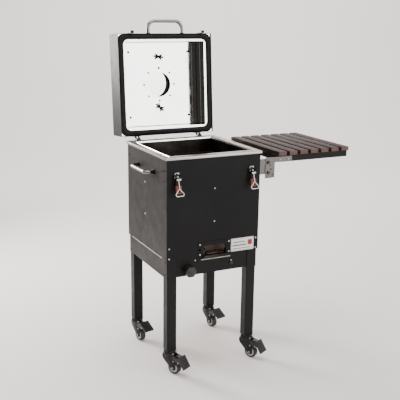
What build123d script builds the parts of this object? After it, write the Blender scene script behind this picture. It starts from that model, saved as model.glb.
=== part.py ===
"""A square upright smoker on casters: insulated box, hinged lid, folding side shelf.

Millimetres. +X is the shelf side, -Y the front, +Z up, and the wheels stand on z = 0.
The lid stands open past the vertical and the shelf is up, which is the rest pose.
"""

from build123d import *
from math import cos, radians, sin
import os

os.makedirs("parts", exist_ok=True)

# ---- driving dimensions ------------------------------------------------------------------
DATUM = 8.0              # heights are given from a level this far above the floor
BODY = 450.0             # outer width and depth of the box
HALF = BODY / 2
SHEET = 2.0              # outer sheet metal
LINER_SHEET = 1.5        # stainless inner sheets
INSULATION = 22.0
PANEL_LOW = 526.0
RIM_TOP = 976.0
RIM_HEIGHT = 12.0
RIM_OVERHANG = 6.0
RIM_SHEET = 2.0

LEG_SIDE = 45.0
LEG_WALL = 2.0
LEG_LOW = 105.0
LEG_TOP = 590.0
LEG_OUTER = HALF - 6.0
LEG_CENTRE = LEG_OUTER - LEG_SIDE / 2

APRON_LOW = 442.0
APRON_TOP = 523.0
APRON_SETBACK = 4.0
APRON_LIP = 15.0
KNOB_X = -118.0          # control knob on the front apron
KNOB_Z = 469.0
KNOB = 26.0
KNOB_DEEP = 38.0
SPINDLE = 5.0

LID_WIDTH = 480.0
LID_LENGTH = 475.0
LID_DEPTH = 115.0
LID_LEAN = 4.64          # degrees past the vertical when open
LID_GAP = 0.9            # gasket face above the rim when shut
HINGE_BEHIND = 16.6      # hinge axis behind the lid's rear face
HINGE_BELOW = 5.0        # and below its gasket face
HINGE_X = 160.0
HINGE_PIN = 4.0
KNUCKLE = 7.5

SHELF_IN = 321.0
SLAT_COUNT = 7
SLAT_WIDTH = 42.4
SLAT_GAP = 14.4
SLAT_THICK = 18.0
SLAT_HALF = 224.0
SHELF_TOP = 961.0
FRAME_HEIGHT = 29.0
FRAME_INSET = 12.0
FRAME_END = 5.0
PIVOT_X = 271.0
PIVOT_Z = 871.0
LOCK_Z = 918.0

HANDLE_SPAN = 178.0
HANDLE_REACH = 45.0
TUBE = 8.0
LID_HANDLE_SPAN = 172.0
LID_HANDLE_REACH = 65.0

LATCH_X = 180.0
LATCH_Z = 893.0          # lever pivot
LATCH_PIVOT = 12.0       # lever pivot in front of the panel
LOOP_PIVOT = 21.0        # loop pivot in front of the panel
LOOP_DROP = 9.0          # and below the lever pivot
LOOP_LENGTH = 69.7
LOOP_TILT = 15.0         # the hanging loop rests on the grip
LEVER_TILT = 12.0
WIRE = 2.0

WHEEL = 30.0             # wheel radius
WHEEL_WIDTH = 24.0
TRAIL = 28.0
AXLE = 4.0
KINGPIN = 5.0
PEDAL_REACH = 98.0
PEDAL_HALF = 25.0
FRONT_HEADING = -60.0    # which way each caster trails, from +X
REAR_HEADING = -78.0
REAR_LIFT = 28.0         # the rear brakes are off, their pedals up

RUNNING = 0.05           # radial clearance of a pin in its bore
BOLT_HEAD = 3.6
BOLT_SHANK = 2.0
BOLT_HEIGHT = 2.4

SHELF_OUT = SHELF_IN + SLAT_COUNT * SLAT_WIDTH + (SLAT_COUNT - 1) * SLAT_GAP
LID_REAR = (LID_LENGTH + 2.0 * 0.5) / 2
HINGE_Y = LID_REAR + HINGE_BEHIND
HINGE_Z = RIM_TOP + LID_GAP - HINGE_BELOW

# ---- the row frame: origin on the floor under the centre of the whole object ---------------
LEFT_REACH = HALF + HANDLE_REACH
FRONT_REACH = (LEG_CENTRE + PEDAL_REACH * sin(radians(-FRONT_HEADING))
               + PEDAL_HALF * cos(radians(FRONT_HEADING)))
OPEN = radians(90 + LID_LEAN)
EDGE_Y = HINGE_Y - HINGE_BEHIND * cos(OPEN) + HINGE_BELOW * sin(OPEN)
EDGE_Z = HINGE_Z + HINGE_BEHIND * sin(OPEN) + HINGE_BELOW * cos(OPEN)
REAR_REACH = EDGE_Y + LID_LENGTH * sin(radians(LID_LEAN)) + LID_DEPTH * cos(radians(LID_LEAN))
CX = (LEFT_REACH - SHELF_OUT) / 2
CY = (FRONT_REACH - REAR_REACH) / 2


def at(x, y, z):
    """A point given from the box's centre line and the height datum, in the row frame."""
    return Vector(CX + x, CY + y, z + DATUM)


def block(x, y, z, mode=Mode.ADD):
    """The box between (low, high) limits along each axis."""
    with BuildSketch(Plane(origin=at(sum(x) / 2, sum(y) / 2, z[0]))) as profile:
        Rectangle(x[1] - x[0], y[1] - y[0])
    extrude(profile.sketch, amount=z[1] - z[0], mode=mode)


def rod(start, end, radius, mode=Mode.ADD):
    """A round bar between two points."""
    start = at(*start)
    end = at(*end)
    with BuildSketch(Plane(origin=start, z_dir=end - start)) as profile:
        Circle(radius)
    extrude(profile.sketch, amount=(end - start).length, mode=mode)


def bolt(face, direction, head=BOLT_HEAD, depth=SHEET):
    """A pan-head bolt on a face, its shank as deep as the sheet."""
    x, y, z = face
    dx, dy, dz = direction
    rod((x, y, z), (x + dx * BOLT_HEIGHT, y + dy * BOLT_HEIGHT, z + dz * BOLT_HEIGHT), head)
    rod((x, y, z), (x - dx * depth, y - dy * depth, z - dz * depth), BOLT_SHANK)


def tube_handle(points, bend, radius):
    """A tube bent along straight runs with round corners."""
    with BuildLine() as route:
        FilletPolyline(*points, radius=bend)
    with BuildSketch(Plane(origin=route.line @ 0, z_dir=route.line % 0)) as profile:
        Circle(radius)
    sweep(profile.sketch, path=route.line)


def keep(name, part):
    """Label a finished piece and write its STEP file."""
    part.label = name
    export_step(part, f"parts/{name}.step")


FRONT = (0, -1, 0)
REAR = (0, 1, 0)
LEFT = (-1, 0, 0)
RIGHT = (1, 0, 0)

# ---- outer panels --------------------------------------------------------------------------
PANEL_TOP = RIM_TOP - RIM_SHEET
VENT_X = 4.5             # centre line of the ash drawer and air inlet
NOTCH_HALF = 62.0
NOTCH_TOP = 572.0
SLOT_Z = 556.0
STUD_X = VENT_X - 46.5   # damper stud, shut
DAMPER_TRAVEL = 28.0
STUD = 3.0
STUD_SLOT = STUD + 0.6

with BuildPart() as front_panel:
    block((-HALF, HALF), (-HALF, SHEET - HALF), (PANEL_LOW, PANEL_TOP))
    block((VENT_X - NOTCH_HALF, VENT_X + NOTCH_HALF), (-HALF - 1, SHEET - HALF + 1),
          (PANEL_LOW - 1, NOTCH_TOP), Mode.SUBTRACT)
    block((STUD_X - DAMPER_TRAVEL - STUD_SLOT, STUD_X), (-HALF - 1, SHEET - HALF + 1),
          (SLOT_Z - STUD_SLOT, SLOT_Z + STUD_SLOT), Mode.SUBTRACT)

with BuildPart() as rear_panel:
    block((-HALF, HALF), (HALF - SHEET, HALF), (PANEL_LOW, PANEL_TOP))

with BuildPart() as left_panel:
    block((-HALF, SHEET - HALF), (SHEET - HALF, HALF - SHEET), (PANEL_LOW, PANEL_TOP))

with BuildPart() as right_panel:
    block((HALF - SHEET, HALF), (SHEET - HALF, HALF - SHEET), (PANEL_LOW, PANEL_TOP))

# ---- chamber ---------------------------------------------------------------------------------
CHAMBER_FLOOR = 595.0
INSIDE = HALF - SHEET
LINER_OUT = INSIDE - INSULATION
LINER_IN = LINER_OUT - LINER_SHEET
AIR_SLOT_PITCH = 24.0    # slots in the chamber floor above the drawer
AIR_SLOT_MIDDLE = -40.0
AIR_SLOT_HALF = 40.0

with BuildPart() as firebox_floor:
    block((-INSIDE, INSIDE), (-INSIDE, INSIDE), (CHAMBER_FLOOR, CHAMBER_FLOOR + SHEET))
    for row in range(-5, 6):
        slot_y = row * AIR_SLOT_PITCH + AIR_SLOT_MIDDLE
        block((VENT_X - AIR_SLOT_HALF, VENT_X + AIR_SLOT_HALF), (slot_y - 4, slot_y + 4),
              (CHAMBER_FLOOR - 1, CHAMBER_FLOOR + SHEET + 1), Mode.SUBTRACT)

with BuildPart() as inner_liner:
    block((-LINER_OUT, LINER_OUT), (-LINER_OUT, LINER_OUT), (CHAMBER_FLOOR + SHEET, PANEL_TOP))
    block((-LINER_IN, LINER_IN), (-LINER_IN, LINER_IN), (CHAMBER_FLOOR, PANEL_TOP + 1), Mode.SUBTRACT)

with BuildPart() as insulation:
    block((-INSIDE, INSIDE), (-INSIDE, INSIDE), (CHAMBER_FLOOR + SHEET, PANEL_TOP))
    block((-LINER_OUT, LINER_OUT), (-LINER_OUT, LINER_OUT), (CHAMBER_FLOOR, PANEL_TOP + 1), Mode.SUBTRACT)

RIM_OUT = HALF + RIM_OVERHANG
RIM_IN = LINER_IN - RIM_SHEET
with BuildPart() as top_rim:
    block((-RIM_OUT, RIM_OUT), (-RIM_OUT, RIM_OUT), (RIM_TOP - RIM_HEIGHT, RIM_TOP))
    fillet(top_rim.edges().group_by(Axis.Z)[-1], 1.5)
    block((RIM_SHEET - RIM_OUT, RIM_OUT - RIM_SHEET), (RIM_SHEET - RIM_OUT, RIM_OUT - RIM_SHEET),
          (RIM_TOP - RIM_HEIGHT - 1, RIM_TOP - RIM_SHEET), Mode.SUBTRACT)
    block((-LINER_IN, LINER_IN), (-LINER_IN, LINER_IN), (RIM_TOP - RIM_HEIGHT, RIM_TOP - RIM_SHEET))
    block((-RIM_IN, RIM_IN), (-RIM_IN, RIM_IN), (RIM_TOP - RIM_HEIGHT - 1, RIM_TOP + 1), Mode.SUBTRACT)

RAIL_Z = 900.0
RAIL_HALF = 185.0
RAIL_SHELF = 12.0
RAIL_DEEP = 14.0
with BuildPart() as grate_rails:
    for side in (-1, 1):
        wall = side * LINER_IN
        shelf_edge = side * (LINER_IN - RAIL_SHELF)
        block(sorted((wall, shelf_edge)), (-RAIL_HALF, RAIL_HALF), (RAIL_Z - SHEET, RAIL_Z))
        block(sorted((wall, side * (LINER_IN - SHEET))), (-RAIL_HALF, RAIL_HALF),
              (RAIL_Z - RAIL_DEEP, RAIL_Z - SHEET))

GRATE_HALF = 191.0
GRATE_BAR = 5.0
ROD = 2.0
ROD_PITCH = 18.0
CROSS_BAR_Y = 60.0
GRATE_LOW = RAIL_Z + 0.3
GRATE_TOP = GRATE_LOW + GRATE_BAR
with BuildPart() as cooking_grate:
    inner = GRATE_HALF - GRATE_BAR
    middle = GRATE_HALF - GRATE_BAR / 2
    block((-GRATE_HALF, GRATE_HALF), (-GRATE_HALF, GRATE_HALF), (GRATE_LOW, GRATE_TOP))
    block((-inner, inner), (-inner, inner), (GRATE_LOW - 1, GRATE_TOP + 1), Mode.SUBTRACT)
    for place in range(-10, 11):
        x = place * ROD_PITCH
        rod((x, -middle, GRATE_LOW + 2.8), (x, middle, GRATE_LOW + 2.8), ROD)
    for y in (-CROSS_BAR_Y, CROSS_BAR_Y):
        block((-middle, middle), (y - 3, y + 3), (GRATE_LOW + 0.2, GRATE_LOW + 1.8))

BASKET_HALF = 150.0
BASKET_LOW = CHAMBER_FLOOR + SHEET + 0.4
BASKET_TOP = BASKET_LOW + 85.0
BASKET_PITCH = 40.0
BASKET_SLOT = 120.0
with BuildPart() as charcoal_basket:
    block((-BASKET_HALF, BASKET_HALF), (-BASKET_HALF, BASKET_HALF), (BASKET_LOW, BASKET_TOP))
    block((SHEET - BASKET_HALF, BASKET_HALF - SHEET), (SHEET - BASKET_HALF, BASKET_HALF - SHEET),
          (BASKET_LOW + SHEET, BASKET_TOP + 1), Mode.SUBTRACT)
    for place in (-2, 0, 2):
        block((place * BASKET_PITCH - 4, place * BASKET_PITCH + 4), (-BASKET_SLOT, BASKET_SLOT),
              (BASKET_LOW - 1, BASKET_LOW + SHEET + 1), Mode.SUBTRACT)

# ---- stand -------------------------------------------------------------------------------------
CORNERS = {
    "front_left": (-1, -1, FRONT_HEADING),
    "front_right": (1, -1, FRONT_HEADING),
    "rear_left": (-1, 1, REAR_HEADING),
    "rear_right": (1, 1, REAR_HEADING),
}
LEG_INNER = LEG_OUTER - LEG_SIDE

for corner, (sx, sy, heading) in CORNERS.items():
    with BuildPart() as leg:
        with BuildSketch(Plane(origin=at(sx * LEG_CENTRE, sy * LEG_CENTRE, LEG_LOW))):
            RectangleRounded(LEG_SIDE, LEG_SIDE, 3)
            RectangleRounded(LEG_SIDE - 2 * LEG_WALL, LEG_SIDE - 2 * LEG_WALL, 1, mode=Mode.SUBTRACT)
        extrude(amount=LEG_TOP - LEG_LOW)
    keep(f"{corner}_leg", leg.part)

with BuildPart() as end_aprons:
    for sy in (-1, 1):
        face = sy * (LEG_OUTER - APRON_SETBACK)
        block((-LEG_INNER, LEG_INNER), sorted((face, face - sy * SHEET)), (APRON_LOW, APRON_TOP))
        for low in (APRON_LOW, APRON_TOP - SHEET):
            block((-LEG_INNER, LEG_INNER), sorted((face, face - sy * APRON_LIP)), (low, low + SHEET))
    rod((KNOB_X, -HALF, KNOB_Z), (KNOB_X, 0, KNOB_Z), SPINDLE + RUNNING, Mode.SUBTRACT)

with BuildPart() as side_aprons:
    for sx in (-1, 1):
        face = sx * (LEG_OUTER + SHEET)
        block(sorted((face, face - sx * SHEET)), (-LEG_OUTER, LEG_OUTER), (APRON_LOW - 2, APRON_TOP))
        for low in (APRON_LOW - 2, APRON_TOP - SHEET):
            block(sorted((face, face - sx * (APRON_LIP + SHEET))), (-LEG_INNER, LEG_INNER),
                  (low, low + SHEET))

with BuildPart() as base_pan:
    block((-INSIDE, INSIDE), (-INSIDE, INSIDE), (PANEL_LOW, PANEL_LOW + SHEET))
    for sx in (-1, 1):
        for sy in (-1, 1):
            block(sorted((sx * LEG_INNER, sx * (HALF + 1))),
                  sorted((sy * LEG_INNER, sy * (HALF + 1))),
                  (PANEL_LOW - 1, PANEL_LOW + SHEET + 1), Mode.SUBTRACT)

# ---- air inlet and ash drawer ----------------------------------------------------------------
FRAME_LOW = PANEL_LOW + 1.5
FRAME_TOP = 590.0
FRAME_HALF = 80.5
OPEN_HALF = 56.5
FRAME_FACE = -HALF - SHEET
with BuildPart() as vent_frame:
    with BuildSketch(Plane(origin=at(VENT_X, -HALF, 0), x_dir=(1, 0, 0), z_dir=FRONT)):
        with Locations((0, (FRAME_LOW + FRAME_TOP) / 2)):
            RectangleRounded(2 * FRAME_HALF, FRAME_TOP - FRAME_LOW, 4)
        with Locations((0, NOTCH_TOP - 40)):
            RectangleRounded(2 * OPEN_HALF, 80, 12, mode=Mode.SUBTRACT)
    extrude(amount=SHEET)
    block((STUD_X - DAMPER_TRAVEL - STUD_SLOT, STUD_X), (FRAME_FACE - 1, -HALF + 1),
          (SLOT_Z - STUD_SLOT, SLOT_Z + STUD_SLOT), Mode.SUBTRACT)

DAMPER_Y = SHEET - HALF + 0.4
DAMPER_SHEET = 1.2
DAMPER_LOW = 548.0
DAMPER_TOP = 578.0
with BuildPart() as air_damper:
    block((VENT_X - NOTCH_HALF, VENT_X + NOTCH_HALF), (DAMPER_Y, DAMPER_Y + DAMPER_SHEET),
          (DAMPER_LOW, DAMPER_TOP))
    rod((STUD_X, DAMPER_Y, SLOT_Z), (STUD_X, FRAME_FACE - 5, SLOT_Z), STUD)
    rod((STUD_X, FRAME_FACE - 0.5, SLOT_Z), (STUD_X, FRAME_FACE - 6, SLOT_Z), STUD + 1.6)

DRAWER_HALF = 54.0
DRAWER_FRONT = -218.0
DRAWER_REAR = 150.0
DRAWER_LOW = PANEL_LOW + SHEET + 0.4
DRAWER_TOP = 545.5
DRAWER_SHEET = 1.2
LIP_HALF = 73.0
LIP_Y = -238.0
LIP_Z = 515.0
PULL_HALF = 40.0
PULL_Z = 538.0
with BuildPart() as ash_drawer:
    block((VENT_X - DRAWER_HALF, VENT_X + DRAWER_HALF), (DRAWER_FRONT, DRAWER_REAR),
          (DRAWER_LOW, DRAWER_TOP))
    block((VENT_X - DRAWER_HALF + DRAWER_SHEET, VENT_X + DRAWER_HALF - DRAWER_SHEET),
          (DRAWER_FRONT + DRAWER_SHEET, DRAWER_REAR - DRAWER_SHEET),
          (DRAWER_LOW + DRAWER_SHEET, DRAWER_TOP + 1), Mode.SUBTRACT)
    block((VENT_X - DRAWER_HALF, VENT_X + DRAWER_HALF), (LIP_Y, DRAWER_FRONT),
          (DRAWER_LOW, DRAWER_LOW + DRAWER_SHEET))
    block((VENT_X - DRAWER_HALF, VENT_X + DRAWER_HALF), (LIP_Y, LIP_Y + DRAWER_SHEET),
          (LIP_Z, DRAWER_LOW + DRAWER_SHEET))
    rod((VENT_X - LIP_HALF, LIP_Y, LIP_Z), (VENT_X + LIP_HALF, LIP_Y, LIP_Z), 3.5)
    pull_y = DRAWER_FRONT - 16
    tube_handle([at(VENT_X - PULL_HALF, DRAWER_FRONT, PULL_Z), at(VENT_X - PULL_HALF, pull_y, PULL_Z),
                 at(VENT_X + PULL_HALF, pull_y, PULL_Z), at(VENT_X + PULL_HALF, DRAWER_FRONT, PULL_Z)], 7, 3)

APRON_FACE = -LEG_OUTER + APRON_SETBACK
with BuildPart() as control_knob:
    rod((KNOB_X, APRON_FACE - 0.5, KNOB_Z), (KNOB_X, APRON_FACE - KNOB_DEEP, KNOB_Z), KNOB)
    fillet(control_knob.edges().filter_by(GeomType.CIRCLE).group_by(Axis.Y)[0], 4)
    rod((KNOB_X, APRON_FACE - 0.5, KNOB_Z), (KNOB_X, APRON_FACE + 14, KNOB_Z), SPINDLE)

PLATE_LOW = 527.5
PLATE_HEIGHT = 59.0
PLATE_LEFT = 87.0
PLATE_RIGHT = 203.0
with BuildPart() as name_plate:
    block((PLATE_LEFT, PLATE_RIGHT), (-HALF - 1, -HALF), (PLATE_LOW, PLATE_LOW + PLATE_HEIGHT))

# ---- side handle -------------------------------------------------------------------------------
HANDLE_Z = 889.0
HANDLE_Y = 3.0
with BuildPart() as side_handle:
    near = HANDLE_Y - HANDLE_SPAN / 2
    far = HANDLE_Y + HANDLE_SPAN / 2
    out = -HALF - HANDLE_REACH + TUBE
    tube_handle([at(-HALF, near, HANDLE_Z), at(out, near, HANDLE_Z), at(out, far, HANDLE_Z),
                 at(-HALF, far, HANDLE_Z)], 22, TUBE)
    for y in (near, far):
        rod((-HALF, y, HANDLE_Z), (-HALF - 2.5, y, HANDLE_Z), TUBE + 4)

# ---- toggle latches ----------------------------------------------------------------------------
PIVOT_Y = -HALF - LATCH_PIVOT
LOOP_Y = -HALF - LOOP_PIVOT
LOOP_Z = LATCH_Z - LOOP_DROP
PIN = 2.4
EAR_IN = 11.0
EAR_OUT = 13.0
with BuildPart() as latch_bases:
    for side in (-1, 1):
        x = side * LATCH_X
        block((x - 15, x + 15), (-HALF - SHEET, -HALF), (LATCH_Z - 24, LATCH_Z + 17))
        block((x - 10, x + 10), (-HALF - 7, -HALF - SHEET), (LATCH_Z + 15, LATCH_Z + 17))
        for ear in (-1, 1):
            sides = sorted((x + ear * EAR_IN, x + ear * EAR_OUT))
            block(sides, (PIVOT_Y, -HALF - SHEET), (LATCH_Z - 14, LATCH_Z + 6))
            rod((sides[0], PIVOT_Y, LATCH_Z), (sides[1], PIVOT_Y, LATCH_Z), 6)
        rod((x - EAR_OUT, PIVOT_Y, LATCH_Z), (x + EAR_OUT, PIVOT_Y, LATCH_Z), PIN)
        for end in (-1, 1):
            rod((x + end * EAR_OUT, PIVOT_Y, LATCH_Z), (x + end * (EAR_OUT + 1.5), PIVOT_Y, LATCH_Z),
                PIN + 1.2)

LEVER_HALF = 9.5
LUG_IN = 6.0
LEVER_LENGTH = 66.0
GRIP_FROM = 37.0
GRIP_TO = 70.0
lever_down = Vector(0, -sin(radians(LEVER_TILT)), -cos(radians(LEVER_TILT)))


def latch_side(x):
    """The side view of a latch: Y along x, Z along y, facing right."""
    return Plane(origin=at(x, 0, 0), x_dir=(0, 1, 0), z_dir=RIGHT)


for name, side in (("left", -1), ("right", 1)):
    x = side * LATCH_X
    pivot = at(x, PIVOT_Y, LATCH_Z)
    grip_plane = Plane(origin=pivot + lever_down * GRIP_FROM, x_dir=(1, 0, 0), z_dir=lever_down)
    tip_y = PIVOT_Y + lever_down.Y * LEVER_LENGTH
    tip_z = LATCH_Z + lever_down.Z * LEVER_LENGTH
    with BuildPart() as lever:
        for low in (x - LEVER_HALF, x + LUG_IN):
            boss = (PIVOT_Y, LATCH_Z, 5)
            for ends in ((boss, (LOOP_Y, LOOP_Z, 5)), (boss, (tip_y, tip_z, 2.5))):
                with BuildSketch(latch_side(low)):
                    for y, z, radius in ends:
                        with Locations((y, z)):
                            Circle(radius)
                    make_hull()
                extrude(amount=LEVER_HALF - LUG_IN)
        with BuildSketch(Plane(origin=pivot + lever_down * 24, x_dir=(1, 0, 0), z_dir=lever_down)):
            Rectangle(2 * LEVER_HALF, 2)
        extrude(amount=LEVER_LENGTH - 24)
        rod((x - 20, PIVOT_Y, LATCH_Z), (x + 20, PIVOT_Y, LATCH_Z), PIN + RUNNING, Mode.SUBTRACT)
        rod((x - 20, LOOP_Y, LOOP_Z), (x + 20, LOOP_Y, LOOP_Z), PIN + RUNNING, Mode.SUBTRACT)
    keep(f"{name}_latch_lever", lever.part)
    with BuildPart() as grip:
        with BuildSketch(grip_plane):
            RectangleRounded(26, 11, 4)
        extrude(amount=GRIP_TO - GRIP_FROM)
        add(lever.part, mode=Mode.SUBTRACT)
    keep(f"{name}_latch_grip", grip.part)
    with BuildPart() as loop:
        rod((x - LEVER_HALF, LOOP_Y, LOOP_Z), (x + LEVER_HALF, LOOP_Y, LOOP_Z), PIN)
        rod((x - LUG_IN + 0.6, LOOP_Y, LOOP_Z), (x + LUG_IN - 0.6, LOOP_Y, LOOP_Z), 4)
        rod((x, LOOP_Y, LOOP_Z), (x, LOOP_Y, LOOP_Z - 39), 2.2)
        bar = LOOP_Z - LOOP_LENGTH
        tube_handle([at(x, LOOP_Y, LOOP_Z - 38), at(x - 19, LOOP_Y, bar + 8), at(x - 15, LOOP_Y, bar),
                     at(x + 15, LOOP_Y, bar), at(x + 19, LOOP_Y, bar + 8), at(x, LOOP_Y, LOOP_Z - 38)],
                    3, WIRE)
    hanging = loop.part.rotate(Axis(at(x, LOOP_Y, LOOP_Z), (1, 0, 0)), -LOOP_TILT)
    keep(f"{name}_latch_loop", hanging)

# ---- lid, drawn on planes along its gasket face --------------------------------------------------
LEAN = radians(LID_LEAN)
LID_NORMAL = Vector(0, -cos(LEAN), sin(LEAN))


def lid_plane(depth):
    """A plane along the gasket face, its origin on the hinge edge, depth mm into the lid."""
    return Plane(origin=at(0, EDGE_Y, EDGE_Z) - LID_NORMAL * depth, x_dir=(1, 0, 0), z_dir=LID_NORMAL)


def lid_block(x, u, depth, mode=Mode.ADD, corner=0):
    """A box in the lid: x across, u up from the hinge edge, depth from the gasket face."""
    with BuildSketch(lid_plane(depth[1])) as profile:
        with Locations((sum(x) / 2, sum(u) / 2)):
            if corner:
                RectangleRounded(x[1] - x[0], u[1] - u[0], corner)
            else:
                Rectangle(x[1] - x[0], u[1] - u[0])
    extrude(profile.sketch, amount=depth[1] - depth[0], mode=mode)


def lid_rod(place, depth, radius, mode=Mode.ADD):
    """A round bar square to the gasket face."""
    with BuildSketch(lid_plane(depth[1])) as profile:
        with Locations(place):
            Circle(radius)
    extrude(profile.sketch, amount=depth[1] - depth[0], mode=mode)


def lid_point(x, u, depth):
    """A point of the lid in the row frame."""
    return lid_plane(depth).from_local_coords(Vector(x, u, 0))


LID_HALF = LID_WIDTH / 2
GASKET_IN_X = 211.5
GASKET_IN_U = 27.0
GASKET_THICK = 8.0
TRAY_HALF = 203.0
TRAY_U = (35.0, 440.0)
TRAY_DEPTH = 100.0
VENT_U = 236.0
VENT_HOLE = 59.0
SCREW_RING = 79.0        # small holes round the vent
RING_HOLE = 3.5
COVER_ROOM = 5.0         # pocket behind the tray where the vent cover swings
COVER_ROOM_X = (-125.0, 85.0)
COVER_ROOM_U = (160.0, 335.0)
lid_inner = LID_HALF - SHEET

with BuildPart() as lid_shell:
    lid_block((-LID_HALF, LID_HALF), (0, LID_LENGTH), (2, LID_DEPTH))
    fillet(lid_shell.edges().filter_by(lambda e: abs((e % 0.5).dot(LID_NORMAL)) > 0.99), 3)
    lid_block((-lid_inner, lid_inner), (SHEET, LID_LENGTH - SHEET), (0, LID_DEPTH - SHEET), Mode.SUBTRACT)

with BuildPart() as lid_gasket:
    lid_block((-lid_inner, lid_inner), (SHEET, LID_LENGTH - SHEET), (0, GASKET_THICK), corner=3)
    lid_block((-GASKET_IN_X, GASKET_IN_X), (GASKET_IN_U, LID_LENGTH - GASKET_IN_U), (-1, GASKET_THICK + 1),
              Mode.SUBTRACT, 25)

flange_back = GASKET_THICK + LINER_SHEET
with BuildPart() as lid_liner:
    lid_block((-lid_inner, lid_inner), (SHEET, LID_LENGTH - SHEET), (GASKET_THICK, flange_back))
    lid_block((-TRAY_HALF, TRAY_HALF), TRAY_U, (GASKET_THICK, TRAY_DEPTH))
    lid_block((LINER_SHEET - TRAY_HALF, TRAY_HALF - LINER_SHEET),
              (TRAY_U[0] + LINER_SHEET, TRAY_U[1] - LINER_SHEET), (0, TRAY_DEPTH - LINER_SHEET),
              Mode.SUBTRACT)
    lid_rod((0, VENT_U), (0, TRAY_DEPTH + 1), VENT_HOLE, Mode.SUBTRACT)
    for hole in range(1, 8):
        angle = radians(90 + 45 * hole)
        lid_rod((SCREW_RING * cos(angle), VENT_U + SCREW_RING * sin(angle)), (50, TRAY_DEPTH + 1), RING_HOLE,
                Mode.SUBTRACT)

with BuildPart() as lid_insulation:
    lid_block((-lid_inner, lid_inner), (SHEET, LID_LENGTH - SHEET), (flange_back, LID_DEPTH - SHEET))
    lid_block((-TRAY_HALF, TRAY_HALF), TRAY_U, (0, TRAY_DEPTH), Mode.SUBTRACT)
    lid_block(COVER_ROOM_X, COVER_ROOM_U, (0, TRAY_DEPTH + COVER_ROOM), Mode.SUBTRACT)
    lid_rod((0, VENT_U), (0, LID_DEPTH), VENT_HOLE + 4, Mode.SUBTRACT)

COVER = 68.0
PLATE_SCREW_X = 155.0
PLATE_SCREW_ROWS = (82.0, 392.0)
COVER_SWING = radians(23.9)      # how far the cover hangs to the side of the hole
COVER_PIVOT = (0.0, VENT_U + SCREW_RING)
COVER_SCREW = 3.0
plate_face = TRAY_DEPTH - LINER_SHEET
cover_depth = (TRAY_DEPTH + 0.5, TRAY_DEPTH + 2.2)
cover_place = (-SCREW_RING * sin(COVER_SWING), COVER_PIVOT[1] - SCREW_RING * cos(COVER_SWING))
with BuildPart() as lid_vent_cover:
    lid_rod(cover_place, cover_depth, COVER)
    lid_rod(COVER_PIVOT, cover_depth, 9)
    lid_block((-9, 3), (COVER_PIVOT[1] - 26, COVER_PIVOT[1]), cover_depth)
    lid_rod(COVER_PIVOT, (TRAY_DEPTH, TRAY_DEPTH + 4), COVER_SCREW + RUNNING, Mode.SUBTRACT)

with BuildPart() as lid_screws:
    for sx in (-1, 1):
        for u in PLATE_SCREW_ROWS:
            lid_rod((sx * PLATE_SCREW_X, u), (plate_face - BOLT_HEIGHT, plate_face), BOLT_HEAD + 0.6)
            lid_rod((sx * PLATE_SCREW_X, u), (plate_face, TRAY_DEPTH), BOLT_SHANK)
    lid_rod(COVER_PIVOT, (plate_face - BOLT_HEIGHT, plate_face), BOLT_HEAD + 1)
    lid_rod(COVER_PIVOT, (plate_face, TRAY_DEPTH + 2.7), COVER_SCREW)
    lid_rod(COVER_PIVOT, (TRAY_DEPTH + 2.7, TRAY_DEPTH + 4.2), BOLT_HEAD + 1)

handle_half = LID_HANDLE_SPAN / 2
handle_u = LID_LENGTH + LID_HANDLE_REACH - TUBE
HANDLE_DEPTH = 9.5
with BuildPart() as lid_handle:
    tube_handle([lid_point(-handle_half, LID_LENGTH, HANDLE_DEPTH),
                 lid_point(-handle_half, handle_u, HANDLE_DEPTH),
                 lid_point(handle_half, handle_u, HANDLE_DEPTH),
                 lid_point(handle_half, LID_LENGTH, HANDLE_DEPTH)], 34, TUBE)
    for side in (-1, 1):
        with BuildSketch(Plane(origin=lid_point(side * handle_half, LID_LENGTH, HANDLE_DEPTH),
                               z_dir=lid_plane(0).y_dir)):
            Circle(TUBE + 1.4)
        extrude(amount=2.5)

STRIKE_HALF = 8.0
HOOK_LOW = -30.0         # hook bottom beyond the gasket face
with BuildPart() as lid_strikes:
    for side in (-1, 1):
        across = (side * LATCH_X - STRIKE_HALF, side * LATCH_X + STRIKE_HALF)
        lid_block(across, (LID_LENGTH, LID_LENGTH + SHEET), (HOOK_LOW, 26))
        lid_block(across, (LID_LENGTH, LID_LENGTH + 12), (HOOK_LOW, HOOK_LOW + SHEET))
        lid_block(across, (LID_LENGTH + 10, LID_LENGTH + 12), (HOOK_LOW, HOOK_LOW + 9))

# ---- lid hinges ------------------------------------------------------------------------------------
KNUCKLE_IN = 5.0
KNUCKLE_OUT = 9.5
LEAF_HALF = 20.0
with BuildPart() as lid_hinge_leaves:
    for side in (-1, 1):
        x = side * HINGE_X
        lid_block((x - LEAF_HALF, x + LEAF_HALF), (-3, 0), (12, 66))
        for arm in (-1, 1):
            low, high = sorted((x + arm * (KNUCKLE_IN + 0.4), x + arm * KNUCKLE_OUT))
            with BuildSketch(Plane(origin=lid_point(low, 0, 0), x_dir=lid_plane(0).y_dir, z_dir=RIGHT)):
                with Locations((-HINGE_BEHIND, HINGE_BELOW)):
                    Circle(KNUCKLE)
                with Locations((-1.5, -16)):
                    Rectangle(3, 8)
                make_hull()
            extrude(amount=high - low)
        rod((x - 30, HINGE_Y, HINGE_Z), (x + 30, HINGE_Y, HINGE_Z), HINGE_PIN + RUNNING, Mode.SUBTRACT)

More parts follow.
